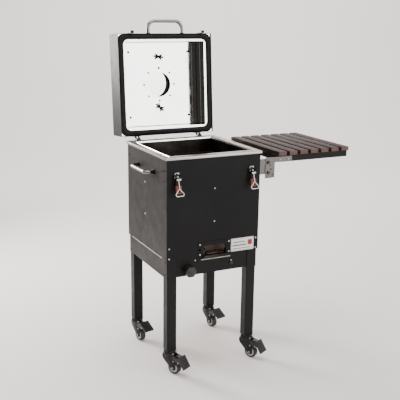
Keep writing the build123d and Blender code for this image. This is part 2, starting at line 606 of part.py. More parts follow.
with BuildPart() as hinge_brackets:
    for side in (-1, 1):
        x = side * HINGE_X
        block((x - LEAF_HALF, x + LEAF_HALF), (HALF, HALF + 3), (890, 956))
        with BuildSketch(Plane(origin=at(x - KNUCKLE_IN, 0, 0), x_dir=(0, 1, 0), z_dir=RIGHT)):
            with Locations((HINGE_Y, HINGE_Z)):
                Circle(KNUCKLE)
            with Locations((HALF + 1.5, 938)):
                Rectangle(3, 22)
            make_hull()
        extrude(amount=2 * KNUCKLE_IN)
        rod((x - 30, HINGE_Y, HINGE_Z), (x + 30, HINGE_Y, HINGE_Z), HINGE_PIN, Mode.SUBTRACT)

with BuildPart() as hinge_pins:
    for side in (-1, 1):
        x = side * HINGE_X
        rod((x - KNUCKLE_OUT - 1, HINGE_Y, HINGE_Z), (x + KNUCKLE_OUT + 1, HINGE_Y, HINGE_Z), HINGE_PIN)
        for end in (-1, 1):
            rod((x + end * (KNUCKLE_OUT + 0.6), HINGE_Y, HINGE_Z),
                (x + end * (KNUCKLE_OUT + 3), HINGE_Y, HINGE_Z), 6)

# ---- folding shelf -----------------------------------------------------------------------------------
BRACKET_Y = 216.2        # outer face of the fixed plate
ARM_IN = 216.5
ARM_OUT = 219.5
BRACKET_THICK = 3.0
BRACKET_FOOT = 176.0
STUD_ROD = 4.0
with BuildPart() as shelf_brackets:
    for side in (-1, 1):
        plate = sorted((side * BRACKET_Y, side * (BRACKET_Y - BRACKET_THICK)))
        block((HALF, 292), plate, (PIVOT_Z - 6, LOCK_Z + 16))
        block((HALF, HALF + BRACKET_THICK), sorted((side * BRACKET_Y, side * BRACKET_FOOT)),
              (PIVOT_Z - 6, LOCK_Z + 16))
        for z in (PIVOT_Z, LOCK_Z):
            rod((PIVOT_X, side * (BRACKET_Y - 1), z), (PIVOT_X, side * (ARM_OUT + 1), z), STUD_ROD)
            rod((PIVOT_X, side * (ARM_OUT + 0.4), z), (PIVOT_X, side * (ARM_OUT + 4.4), z), 7)

ARM_LEFT = 256.0
ARM_RIGHT = 394.0
ARM_LEG = 304.0
ARM_LOW = 846.0
ARM_TOP = 939.0
ARM_UNDER = 915.5
with BuildPart() as shelf_arms:
    for side in (-1, 1):
        with BuildSketch(Plane(origin=at(0, side * ARM_IN, 0), x_dir=(side * -1, 0, 0), z_dir=(0, side, 0))):
            with BuildLine():
                outline = [(ARM_LEFT, ARM_TOP), (ARM_RIGHT, ARM_TOP), (ARM_RIGHT, ARM_UNDER),
                           (ARM_LEG, ARM_UNDER), (ARM_LEG, ARM_LOW), (ARM_LEFT, ARM_LOW)]
                FilletPolyline(*[(-side * x, z) for x, z in outline], radius=4, close=True)
            make_face()
        extrude(amount=ARM_OUT - ARM_IN)
        rod((PIVOT_X, side * 200, PIVOT_Z), (PIVOT_X, side * 240, PIVOT_Z), STUD_ROD + RUNNING,
            Mode.SUBTRACT)
        rod((PIVOT_X, side * 210, LOCK_Z), (PIVOT_X, side * 240, LOCK_Z), STUD_ROD + 0.6, Mode.SUBTRACT)
        block((ARM_LEFT - 1, PIVOT_X), sorted((side * 210, side * 240)), (LOCK_Z - 8, LOCK_Z + 4.6),
              Mode.SUBTRACT)

frame_out = SHELF_OUT - FRAME_END
frame_in = SHELF_IN + FRAME_INSET
slat_low = SHELF_TOP - SLAT_THICK
ANGLE = 3.0
ANGLE_FOOT = 25.0
with BuildPart() as shelf_frame:
    block((frame_in, frame_out), (-ARM_IN, ARM_IN), (slat_low - FRAME_HEIGHT, slat_low))
    block((frame_in + ANGLE, frame_out - ANGLE), (ANGLE - ARM_IN, ARM_IN - ANGLE),
          (slat_low - FRAME_HEIGHT - 1, slat_low - ANGLE), Mode.SUBTRACT)
    block((frame_in + ANGLE_FOOT, frame_out - ANGLE_FOOT), (ANGLE_FOOT - ARM_IN, ARM_IN - ANGLE_FOOT),
          (slat_low - ANGLE - 1, slat_low + 1), Mode.SUBTRACT)

with BuildPart() as shelf_slats:
    for slat in range(SLAT_COUNT):
        middle = SHELF_IN + SLAT_WIDTH / 2 + slat * (SLAT_WIDTH + SLAT_GAP)
        with BuildSketch(Plane(origin=at(middle, 0, slat_low))):
            RectangleRounded(SLAT_WIDTH, 2 * SLAT_HALF, 2)
        extrude(amount=SLAT_THICK)
    fillet(shelf_slats.edges().group_by(Axis.Z)[-1], 1.5)

# ---- fasteners of the box and stand ------------------------------------------------------------------
PANEL_ROWS = (679.0, 826.0)      # along the middle of each panel
FACE_BOLT_X = 2.0
SIDE_BOLT_Y = 12.0
CORNER_X = 213.0
CORNER_ROWS = (533.0, 578.0)
LEG_BOLT_Y = 200.0
HANDLE_ROWS = (871.0, 916.0)
BRACKET_ROWS = (880.0, 920.0)
BRACKET_BOLT_Y = 190.0
APRON_ROWS = (456.0, 512.0)
FRAME_BOLT_X = 71.0
FRAME_ROWS = (533.0, 579.0)
APRON_BOLTS = ((-84, 508), (-88, 467), (95, 484))
with BuildPart() as panel_bolts:
    for z in PANEL_ROWS:
        bolt((FACE_BOLT_X, -HALF, z), FRONT)
        bolt((FACE_BOLT_X, HALF, z), REAR)
        bolt((-HALF, SIDE_BOLT_Y, z), LEFT)
        bolt((HALF, SIDE_BOLT_Y, z), RIGHT)
    for x in (-CORNER_X, CORNER_X):
        for z in CORNER_ROWS:
            bolt((x, -HALF, z), FRONT)
            bolt((x, HALF, z), REAR)
    for y in (-BRACKET_BOLT_Y, BRACKET_BOLT_Y):
        for z in BRACKET_ROWS:
            bolt((HALF + BRACKET_THICK, y, z), RIGHT, depth=BRACKET_THICK)
    for y in (-LEG_BOLT_Y, LEG_BOLT_Y):
        for z in HANDLE_ROWS:
            bolt((-HALF, y, z), LEFT)
        for z in APRON_ROWS:
            bolt((-LEG_OUTER - SHEET, y, z), LEFT)
            bolt((LEG_OUTER + SHEET, y, z), RIGHT)
    for x in (VENT_X - FRAME_BOLT_X, VENT_X + FRAME_BOLT_X):
        for z in FRAME_ROWS:
            bolt((x, FRAME_FACE, z), FRONT)
    for x, z in APRON_BOLTS:
        bolt((x, APRON_FACE, z), FRONT)
    for x in (-LATCH_X, LATCH_X):
        for offset in (-8, 8):
            bolt((x + offset, -HALF - SHEET, LATCH_Z + 10), FRONT, head=3)

# ---- casters -------------------------------------------------------------------------------------------
PLATE_THICK = 3.0
HEAD_TOP = LEG_LOW - PLATE_THICK - 0.4
HEAD_LOW = 80.0
HEAD = 28.0
PLUG = LEG_SIDE / 2 - LEG_WALL
CHEEK_IN = WHEEL_WIDTH / 2 + 1.2
CHEEK_OUT = CHEEK_IN + 3.0
AXLE_Z = WHEEL - DATUM
CHEEK_BOSS = 12.0        # the cheek round the axle
CHEEK_BACK = 24.0        # its rounded back under the head
CHEEK_BACK_X = -6.0
CHEEK_BACK_Z = 72.0
CHEEK_FRONT = 7.0        # round the brake pin
TREADLE_X = 36.0
TREADLE_Z = 74.0
TREADLE_TOP = (67.0, 84.0)
TREADLE_TIP = (PEDAL_REACH, 35.0)
TREADLE_THICK = 9.0

with BuildPart() as caster_plates:
    for sx, sy, heading in CORNERS.values():
        x = sx * LEG_CENTRE
        y = sy * LEG_CENTRE
        half = LEG_SIDE / 2
        block((x - half, x + half), (y - half, y + half), (LEG_LOW - PLATE_THICK, LEG_LOW))
        block((x - PLUG + 1, x + PLUG - 1), (y - PLUG + 1, y + PLUG - 1), (LEG_LOW, LEG_LOW + 14))
        rod((x, y, HEAD_LOW - 3), (x, y, LEG_LOW - PLATE_THICK), KINGPIN)

for corner, (sx, sy, heading) in CORNERS.items():
    turn = radians(heading)
    along = Vector(cos(turn), sin(turn), 0)
    across = Vector(sin(turn), -cos(turn), 0)
    centre = at(sx * LEG_CENTRE, sy * LEG_CENTRE, 0)


    def side_plane(offset):
        """The caster's side view: trail along x, height along y, offset mm to the side."""
        return Plane(origin=centre + across * offset, x_dir=along, z_dir=across)


    def spindle(place, half, radius, mode=Mode.ADD):
        """A round bar across the caster."""
        with BuildSketch(side_plane(-half)) as profile:
            with Locations(place):
                Circle(radius)
        extrude(profile.sketch, amount=2 * half, mode=mode)

    with BuildPart() as fork:
        with BuildSketch(Plane(origin=centre + Vector(0, 0, HEAD_LOW))):
            Circle(HEAD)
        extrude(amount=HEAD_TOP - HEAD_LOW)
        for low in (-CHEEK_OUT, CHEEK_IN):
            with BuildSketch(side_plane(low)):
                with Locations((TRAIL, AXLE_Z)):
                    Circle(CHEEK_BOSS)
                with Locations((CHEEK_BACK_X, CHEEK_BACK_Z)):
                    Circle(CHEEK_BACK)
                with Locations((TREADLE_X, TREADLE_Z)):
                    Circle(CHEEK_FRONT)
                make_hull()
            extrude(amount=CHEEK_OUT - CHEEK_IN)
        spindle((TRAIL, AXLE_Z), CHEEK_OUT, AXLE)
        spindle((TREADLE_X, TREADLE_Z), CHEEK_OUT, 2.5)
        with BuildSketch(Plane(origin=centre)):
            Circle(KINGPIN + RUNNING)
        extrude(amount=LEG_LOW, mode=Mode.SUBTRACT)
    keep(f"{corner}_fork", fork.part)

    with BuildPart() as wheel:
        spindle((TRAIL, AXLE_Z), WHEEL_WIDTH / 2, WHEEL)
        fillet(wheel.edges().filter_by(GeomType.CIRCLE), 4)
        spindle((TRAIL, AXLE_Z), WHEEL_WIDTH, AXLE + RUNNING, Mode.SUBTRACT)
    keep(f"{corner}_wheel", wheel.part)

    slope = Vector(TREADLE_TIP[0] - TREADLE_TOP[0], TREADLE_TIP[1] - TREADLE_TOP[1], 0)
    normal = Vector(slope.Y, -slope.X, 0).normalized() * TREADLE_THICK
    with BuildPart() as pedal:
        with BuildSketch(side_plane(-PEDAL_HALF)):
            with BuildLine():
                Polyline(TREADLE_TOP, TREADLE_TIP, (TREADLE_TIP[0] + normal.X, TREADLE_TIP[1] + normal.Y),
                         (TREADLE_TOP[0] + normal.X, TREADLE_TOP[1] + normal.Y), close=True)
            make_face()
        extrude(amount=2 * PEDAL_HALF)
        with BuildSketch(side_plane(-CHEEK_IN + 1)):
            with Locations((TREADLE_X, TREADLE_Z)):
                Circle(6)
            with Locations((TREADLE_TOP[0] - 5, TREADLE_TOP[1] - 7)):
                Rectangle(4, 8)
            make_hull()
        extrude(amount=2 * (CHEEK_IN - 1))
        spindle((TREADLE_X, TREADLE_Z), CHEEK_OUT, 2.5 + RUNNING, Mode.SUBTRACT)
    lifted = pedal.part
    if sy > 0:
        hinge = side_plane(0).from_local_coords(Vector(TREADLE_X, TREADLE_Z, 0))
        lifted = lifted.rotate(Axis(hinge, across), REAR_LIFT)
    keep(f"{corner}_brake_pedal", lifted)

# ---- write the remaining pieces ------------------------------------------------------------------------
for name, piece in {
    "front_panel": front_panel, "rear_panel": rear_panel, "left_panel": left_panel,
    "right_panel": right_panel, "firebox_floor": firebox_floor, "inner_liner": inner_liner,
    "insulation": insulation, "top_rim": top_rim, "grate_rails": grate_rails,
    "cooking_grate": cooking_grate, "charcoal_basket": charcoal_basket, "base_pan": base_pan,
    "vent_frame": vent_frame, "air_damper": air_damper, "ash_drawer": ash_drawer,
    "control_knob": control_knob, "name_plate": name_plate,
    "side_handle": side_handle, "latch_bases": latch_bases, "lid_shell": lid_shell,
    "lid_gasket": lid_gasket, "lid_liner": lid_liner, "lid_insulation": lid_insulation,
    "lid_vent_cover": lid_vent_cover, "lid_screws": lid_screws, "lid_handle": lid_handle,
    "lid_strikes": lid_strikes, "lid_hinge_leaves": lid_hinge_leaves, "hinge_brackets": hinge_brackets,
    "hinge_pins": hinge_pins, "shelf_brackets": shelf_brackets, "shelf_arms": shelf_arms,
    "shelf_frame": shelf_frame, "shelf_slats": shelf_slats, "panel_bolts": panel_bolts,
    "caster_plates": caster_plates, "end_aprons": end_aprons, "side_aprons": side_aprons,
}.items():
    keep(name, piece.part)
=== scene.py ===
"""The looks of the upright smoker: materials, detailed pieces, floor, light and camera."""

import math

import bmesh
import bpy
from mathutils import Matrix, Vector
from mathutils.geometry import convex_hull_2d


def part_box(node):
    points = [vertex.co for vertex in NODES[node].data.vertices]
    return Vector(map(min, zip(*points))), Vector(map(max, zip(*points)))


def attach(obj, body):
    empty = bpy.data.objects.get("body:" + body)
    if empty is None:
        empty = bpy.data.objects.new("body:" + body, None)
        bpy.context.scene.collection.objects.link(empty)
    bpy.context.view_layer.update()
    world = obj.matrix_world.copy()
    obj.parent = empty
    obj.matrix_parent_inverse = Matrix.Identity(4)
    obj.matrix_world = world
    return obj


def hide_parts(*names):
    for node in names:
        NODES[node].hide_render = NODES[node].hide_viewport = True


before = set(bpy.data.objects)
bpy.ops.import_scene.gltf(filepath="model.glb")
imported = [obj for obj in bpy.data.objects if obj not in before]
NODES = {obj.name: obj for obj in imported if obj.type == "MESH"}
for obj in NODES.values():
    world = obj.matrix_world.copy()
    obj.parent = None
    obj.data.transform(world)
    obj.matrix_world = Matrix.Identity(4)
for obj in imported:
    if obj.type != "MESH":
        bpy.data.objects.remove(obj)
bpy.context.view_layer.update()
MM = 0.001
DATUM = 8                # heights are given from a level this far above the floor

RIM_LOW, RIM_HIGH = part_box("top_rim")
CENTRE = (RIM_LOW + RIM_HIGH) / 2
CORNERS = ("front_left", "front_right", "rear_left", "rear_right")

# ---- sizes in millimetres, as in the CAD ---------------------------------------------------------
BODY = 225               # half the width of the box
PLATE_FACE = 98.5        # depth of the lid plate's face behind the gasket
VENT_U = 236             # the vent hole's place up the lid
SCREW_RING = 79          # radius of the ring of holes round the vent
PIVOT_U = VENT_U + SCREW_RING
LATCH_X = 180
LATCH_OUT = 237          # the latch pivot in front of the centre line
LATCH_UP = 893
SLATS = 7
SLAT_LEFT = 321          # the inner edge of the first slat
SLAT_WIDTH = 42.4
SLAT_PITCH = 56.8
SLAT_LOW = 943
SLAT_HIGH = 961
CASTER_OFF = 196.5       # the kingpins' distance from both centre lines
FRONT_HEADING = -60      # which way the casters trail, in degrees
REAR_HEADING = -78


def at(x, y, z):
    """A point in metres from millimetres off the box's centre line and the height datum."""
    return Vector((CENTRE.x + x * MM, CENTRE.y + y * MM, (z + DATUM) * MM))


# ---- the lid's own directions, from its hinge ----------------------------------------------------
LEAN = math.radians(4.64)
HINGE_Y = 254.6
HINGE_Z = 971.9
EDGE_Y = HINGE_Y + 16.6 * math.sin(LEAN) + 5 * math.cos(LEAN)
EDGE_Z = HINGE_Z + 16.6 * math.cos(LEAN) - 5 * math.sin(LEAN)


def lid_at(x, u, depth):
    """A point of the lid: x across, u up from the hinge edge, depth into it from the gasket face."""
    return at(x, EDGE_Y + u * math.sin(LEAN) + depth * math.cos(LEAN),
              EDGE_Z + u * math.cos(LEAN) - depth * math.sin(LEAN))


# ---- mesh helpers --------------------------------------------------------------------------------
def rounded_rectangle(left, right, low, high, radius, arc=5):
    """The outline of a rectangle with round corners, anticlockwise."""
    outline = []
    for a, b, start in ((right - radius, low + radius, -90), (right - radius, high - radius, 0),
                        (left + radius, high - radius, 90), (left + radius, low + radius, 180)):
        for step in range(arc + 1):
            turn = math.radians(start + 90 * step / arc)
            outline.append((a + radius * math.cos(turn), b + radius * math.sin(turn)))
    return outline


def circle(a, b, radius, steps=28):
    return [(a + radius * math.cos(2 * math.pi * i / steps), b + radius * math.sin(2 * math.pi * i / steps))
            for i in range(steps)]


def hull(*outlines):
    """The outline around several outlines."""
    points = [point for outline in outlines for point in outline]
    return [points[i] for i in convex_hull_2d(points)]


def bent(points, bend, closed):
    """A path with its corners rounded to a bend radius."""
    points = [Vector(p) for p in points]
    count = len(points)
    path = []
    for i, point in enumerate(points):
        if not closed and i in (0, count - 1) or not bend:
            path.append(point)
            continue
        back = (points[i - 1] - point).normalized()
        on = (points[(i + 1) % count] - point).normalized()
        half = back.angle(on) / 2
        centre = point + (back + on).normalized() * (bend / math.sin(half))
        start = point + back * (bend / math.tan(half)) - centre
        end = point + on * (bend / math.tan(half)) - centre
        for step in range(8):
            path.append(centre + start.slerp(end, step / 7))
    return path


class Piece:
    """One visible piece under construction, in millimetres of its own place function."""

    def __init__(self, place=at):
        self.bm = bmesh.new()
        self.place = place

    def vert(self, *local):
        return self.bm.verts.new(self.place(*local))

    def soften(self, edges, bevel, segments=2):
        if bevel:
            bmesh.ops.bevel(self.bm, geom=list(edges), offset=bevel * MM, segments=segments, profile=0.5,
                            affect="EDGES", clamp_overlap=True)

    def box(self, x, y, z, bevel=0.5):
        corners = [self.vert(a, b, c) for a in x for b in y for c in z]
        sides = ((0, 1, 3, 2), (4, 6, 7, 5), (0, 4, 5, 1), (2, 3, 7, 6), (0, 2, 6, 4), (1, 5, 7, 3))
        faces = [self.bm.faces.new([corners[i] for i in side]) for side in sides]
        self.soften({edge for face in faces for edge in face.edges}, bevel)

    def slab(self, outline, low, high, point, bevel=0.4, inner=None, segments=2):
        """An outline drawn out from low to high, with an optional hole; point(a, b, c) puts it in place."""
        loops = [outline] + ([inner] if inner else [])
        rims = [[[self.vert(*point(a, b, c)) for a, b in loop] for loop in loops] for c in (low, high)]
        count = len(outline)
        following = [(i + 1) % count for i in range(count)]
        if inner:
            for outside, inside in rims:
                for i, j in enumerate(following):
                    self.bm.faces.new((outside[i], outside[j], inside[j], inside[i]))
        else:
            for (outside,) in rims:
                self.bm.faces.new(outside)
        edges = set()
        for loop in range(len(loops)):
            for i, j in enumerate(following):
                first, second = rims[0][loop], rims[1][loop]
                self.bm.faces.new((first[i], first[j], second[j], second[i]))
                edges.add(self.bm.edges.get((first[i], first[j])))
                edges.add(self.bm.edges.get((second[i], second[j])))
        self.soften(edges, bevel, segments)

    def turned(self, centre, axis, profile, steps=28, closed=False):
        """A turned shape about an axis, from (distance along, radius) pairs in millimetres.

        A closed profile makes a ring, and an open one gets end faces.
        """
        origin = self.place(*centre)
        direction = (self.place(*(c + a for c, a in zip(centre, axis))) - origin).normalized()
        side = direction.orthogonal().normalized()
        up = direction.cross(side)
        rows = []
        for along, radius in profile:
            middle = origin + direction * along * MM
            angles = [2 * math.pi * i / steps for i in range(steps)] if radius else [0]
            rows.append([self.bm.verts.new(middle + (side * math.cos(a) + up * math.sin(a)) * radius * MM)
                         for a in angles])
        for low, high in zip(rows, rows[1:] + (rows[:1] if closed else [])):
            for i in range(steps):
                j = (i + 1) % steps
                corners = [low[i % len(low)], low[j % len(low)], high[j % len(high)], high[i % len(high)]]
                self.bm.faces.new(list(dict.fromkeys(corners)))
        for row in (rows[0], rows[-1]):
            if len(row) > 1 and not closed:
                self.bm.faces.new(row)

    def collar(self, centre, axis, profile, steps=32):
        """A turned ring: a closed profile of (distance along, radius) pairs."""
        self.turned(centre, axis, profile, steps, closed=True)

    def tube(self, points, radius, bend=0.0, closed=False, sides=14):
        path = [self.place(*p) for p in bent(points, bend, closed)]
        count = len(path)
        rows = []
        side = None
        for i, point in enumerate(path):
            back = path[i - 1] if closed or i else point
            on = path[(i + 1) % count] if closed or i < count - 1 else point
            along = (on - back).normalized()
            side = along.orthogonal() if side is None else side - along * side.dot(along)
            side = side.normalized()
            up = along.cross(side)
            rows.append([self.bm.verts.new(point + (side * math.cos(a) + up * math.sin(a)) * radius * MM)
                         for a in (2 * math.pi * k / sides for k in range(sides))])
        pairs = list(zip(rows, rows[1:])) + ([(rows[-1], rows[0])] if closed else [])
        for low, high in pairs:
            for k in range(sides):
                n = (k + 1) % sides
                self.bm.faces.new((low[k], low[n], high[n], high[k]))
        if not closed:
            self.bm.faces.new(rows[0])
            self.bm.faces.new(rows[-1])

    def band(self, rows):
        """Joins rows of vertices into a surface closed both ways."""
        for low, high in zip(rows, rows[1:] + rows[:1]):
            for i in range(len(low)):
                j = (i + 1) % len(low)
                self.bm.faces.new((low[i], low[j], high[j], high[i]))

    def square_frame(self, profile):
        """A mitred square frame round the centre line, from a closed profile of (reach, height) pairs."""
        quarters = ((-1, -1), (1, -1), (1, 1), (-1, 1))
        self.band([[self.vert(sx * reach, sy * reach, height) for sx, sy in quarters]
                   for reach, height in profile])
        self.soften([e for e in self.bm.edges if abs((e.verts[0].co - e.verts[1].co).z) > 0.004], 2.0, 3)

    def button(self, centre, axis, radius, height):
        """A domed screw head with a socket."""
        self.turned(centre, axis, [(0, radius), (0.25 * height, radius), (0.7 * height, 0.86 * radius),
                                   (0.96 * height, 0.6 * radius), (height, 0.42 * radius),
                                   (0.45 * height, 0.38 * radius), (0.45 * height, 0)], 20)

    def nut(self, centre, axis, radius, height):
        profile = [(0, radius), (0.85 * height, radius), (height, 0.88 * radius), (height, 0)]
        self.turned(centre, axis, profile, 6)

    def finish(self, name, body, slot, material, *nodes):
        """Makes the object, hangs it on its body and lets it stand for CAD nodes."""
        bmesh.ops.recalc_face_normals(self.bm, faces=self.bm.faces)
        mesh = bpy.data.meshes.new(name)
        self.bm.to_mesh(mesh)
        self.bm.free()
        mesh.shade_smooth()
        mesh.set_sharp_from_angle(angle=math.radians(34))
        mesh.materials.append(material)
        piece = bpy.data.objects.new(name, mesh)
        bpy.context.scene.collection.objects.link(piece)
        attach(piece, body)
        if nodes:
            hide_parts(*nodes)
        return piece


FRONT = (0, -1, 0)
REAR = (0, 1, 0)
LEFT = (-1, 0, 0)
RIGHT = (1, 0, 0)
UP = (0, 0, 1)


# ---- colour and node helpers ----------------------------------------------------------------
def tone(red, green, blue):
    """A scene colour from display values of 0 to 255."""
    def linear(value):
        value /= 255
        return value / 12.92 if value <= 0.04045 else ((value + 0.055) / 1.055) ** 2.4
    return linear(red), linear(green), linear(blue), 1.0


class Surface:
    """A node material under construction, in object coordinates, which are metres in the row frame."""

    def __init__(self, name):
        self.material = bpy.data.materials.new(name)
        self.material.use_nodes = True
        self.nodes = self.material.node_tree.nodes
        self.links = self.material.node_tree.links
        self.shader = self.nodes["Principled BSDF"]
        self.coords = self.nodes.new("ShaderNodeTexCoord").outputs["Object"]

    def link(self, source, target):
        self.links.new(source, target)

    def stretched(self, scale):
        """The coordinates scaled along each axis."""
        mapping = self.nodes.new("ShaderNodeMapping")
        mapping.inputs["Scale"].default_value = scale
        self.link(self.coords, mapping.inputs["Vector"])
        return mapping.outputs["Vector"]

    def noise(self, scale, detail=4, rough=0.55, vector=None, distortion=0.0):
        node = self.nodes.new("ShaderNodeTexNoise")
        node.inputs["Scale"].default_value = scale
        node.inputs["Detail"].default_value = detail
        node.inputs["Roughness"].default_value = rough
        node.inputs["Distortion"].default_value = distortion
        self.link(vector or self.coords, node.inputs["Vector"])
        return node.outputs["Fac"]

    def cells(self, scale):
        node = self.nodes.new("ShaderNodeTexVoronoi")
        node.inputs["Scale"].default_value = scale
        self.link(self.coords, node.inputs["Vector"])
        return node.outputs["Distance"]

    def ramp(self, factor, stops):
        """A colour ramp with (position, colour) stops."""
        node = self.nodes.new("ShaderNodeValToRGB")
        elements = node.color_ramp.elements
        while len(elements) < len(stops):
            elements.new(0.5)
        for element, (position, colour) in zip(elements, stops):
            element.position = position
            element.color = colour
        self.link(factor, node.inputs["Fac"])
        return node.outputs["Color"]

    def spread(self, factor, low, high, start=0.0, end=1.0):
        """Maps a factor between start and end onto low to high."""
        node = self.nodes.new("ShaderNodeMapRange")
        node.inputs["From Min"].default_value = start
        node.inputs["From Max"].default_value = end
        node.inputs["To Min"].default_value = low
        node.inputs["To Max"].default_value = high
        self.link(factor, node.inputs["Value"])
        return node.outputs["Result"]

    def mix(self, factor, first, second, blend="MIX"):
        node = self.nodes.new("ShaderNodeMix")
        node.data_type = "RGBA"
        node.blend_type = blend
        for source, socket in ((factor, node.inputs[0]), (first, node.inputs[6]), (second, node.inputs[7])):
            if isinstance(source, bpy.types.NodeSocket):
                self.link(source, socket)
            else:
                socket.default_value = source
        return node.outputs[2]

    def math(self, operation, first, second=0.0):
        node = self.nodes.new("ShaderNodeMath")
        node.operation = operation
        for source, socket in ((first, node.inputs[0]), (second, node.inputs[1])):
            if isinstance(source, bpy.types.NodeSocket):
                self.link(source, socket)
            else:
                socket.default_value = source
        return node.outputs[0]

    def upward(self):
        """How far the surface faces up, 0 to 1."""
        geometry = self.nodes.new("ShaderNodeNewGeometry")
        split = self.nodes.new("ShaderNodeSeparateXYZ")
        self.link(geometry.outputs["Normal"], split.inputs[0])
        return self.spread(split.outputs["Z"], 0.0, 1.0, 0.3, 1.0)

    def bump(self, height, strength, distance, base=None):
        node = self.nodes.new("ShaderNodeBump")
        node.inputs["Strength"].default_value = strength
        node.inputs["Distance"].default_value = distance
        self.link(height, node.inputs["Height"])
        if base:
            self.link(base, node.inputs["Normal"])
        return node.outputs["Normal"]

    def set(self, **inputs):
        """Sets or links the shader's sockets, named with underscores for spaces."""
        for name, value in inputs.items():
            socket = self.shader.inputs[name.replace("_", " ")]
            if isinstance(value, bpy.types.NodeSocket):
                self.link(value, socket)
            else:
                socket.default_value = value


# ---- materials ---------------------------------------------------------------------------------
def powder_coat(name, colour, light, rough=(0.4, 0.52), gloss=0.26):
    """Satin powder coat: fine orange peel, faint cloudiness, a little dust on upward faces."""
    s = Surface(name)
    cloud = s.noise(5, detail=5)
    base = s.mix(s.spread(cloud, 0.0, 1.0, 0.35, 0.7), tone(*colour), tone(*light))
    specks = s.spread(s.noise(1400, detail=2), 0.0, 0.5, 0.68, 0.8)
    base = s.mix(s.math("MULTIPLY", specks, 0.4), base, tone(80, 76, 72))
    dust = s.math("MULTIPLY", s.upward(), s.spread(s.noise(30, detail=6), 0.0, 0.12, 0.4, 0.75))
    base = s.mix(dust, base, tone(110, 104, 97))
    peel = s.noise(1100, detail=2, rough=0.4)
    wave = s.noise(14, detail=2)
    s.set(Base_Color=base, Roughness=s.spread(s.noise(22, detail=6), *rough, 0.3, 0.7), Metallic=0.0,
          Normal=s.bump(peel, 0.16, 0.00025, s.bump(wave, 0.05, 0.002)))
    s.shader.inputs["Specular IOR Level"].default_value = gloss
    return s.material


def brushed_steel(name, colour, grain, rough=(0.2, 0.34), streak=0.05):
    """Brushed stainless: long fine scratches along one axis, soft smudges."""
    s = Surface(name)
    lines = s.noise(1, detail=8, rough=0.7, vector=s.stretched(grain))
    smudge = s.noise(9, detail=6, rough=0.6)
    dark = tuple(c * 0.78 for c in tone(*colour)[:3]) + (1.0,)
    base = s.mix(s.spread(lines, 0.0, 1.0, 0.3, 0.7), dark, tone(*colour))
    base = s.mix(s.spread(smudge, 0.0, 0.25, 0.45, 0.75), base, tone(150, 142, 132))
    mixed = s.math("ADD", s.math("MULTIPLY", lines, 0.5), s.math("MULTIPLY", smudge, 0.5))
    s.set(Base_Color=base, Metallic=1.0, Roughness=s.spread(mixed, *rough, 0.35, 0.65),
          Normal=s.bump(lines, streak, 0.0004))
    return s.material


def polished_steel(name, colour, rough=(0.04, 0.14)):
    """Polished stainless with fingerprints and very faint drawing lines."""
    s = Surface(name)
    smudge = s.noise(16, detail=7, rough=0.62, distortion=0.6)
    haze = s.noise(3, detail=3)
    base = s.mix(s.spread(smudge, 0.0, 0.2, 0.5, 0.75), tone(*colour), tone(196, 190, 182))
    s.set(Base_Color=base, Metallic=1.0, Roughness=s.spread(smudge, *rough, 0.4, 0.72),
          Normal=s.bump(haze, 0.02, 0.001, s.bump(s.noise(700, detail=2), 0.02, 0.0001)))
    return s.material


def tray_with_painted_reflection(name):
    """The lid's tray: polished back, top and bottom, and side walls painted dark brown with lighter vertical
    streaks as a painted reflection.
    """
    s = Surface(name)
    smudge = s.noise(16, detail=7, rough=0.62, distortion=0.6)
    # Painted reflection: dark brown with lighter vertical streaks, laid on the side walls only
    reflection_streaks = s.noise(1, detail=6, rough=0.6, vector=s.stretched((10, 95, 2)))
    painted_wall_reflection = s.ramp(reflection_streaks, [(0.3, tone(20, 15, 13)), (0.55, tone(36, 29, 26)), (0.7, tone(68, 59, 54))])
    polished_faces = s.mix(s.spread(smudge, 0.0, 0.12, 0.5, 0.75), tone(244, 243, 240), tone(206, 200, 192))
    geometry = s.nodes.new("ShaderNodeNewGeometry")
    split = s.nodes.new("ShaderNodeSeparateXYZ")
    s.link(geometry.outputs["Normal"], split.inputs[0])
    wall = s.spread(s.math("ABSOLUTE", split.outputs["X"]), 0.0, 1.0, 0.6, 0.9)
    s.set(Base_Color=s.mix(wall, polished_faces, painted_wall_reflection), Metallic=1.0,
          Roughness=s.spread(smudge, 0.06, 0.18, 0.4, 0.72),
          Normal=s.bump(s.noise(700, detail=2), 0.02, 0.0001))
    return s.material


def zinc(name, colour, rough=(0.22, 0.4), spangle=160):
    """Bright zinc plate, a little mottled."""
    s = Surface(name)
    cells = s.cells(spangle)
    grain = s.noise(600, detail=4)
    dark = tuple(c * 0.72 for c in tone(*colour)[:3]) + (1.0,)
    base = s.mix(s.spread(cells, 0.0, 1.0, 0.1, 0.7), tone(*colour), dark)
    s.set(Base_Color=base, Metallic=1.0, Roughness=s.spread(cells, *rough, 0.1, 0.8),
          Normal=s.bump(grain, 0.08, 0.0002))
    return s.material


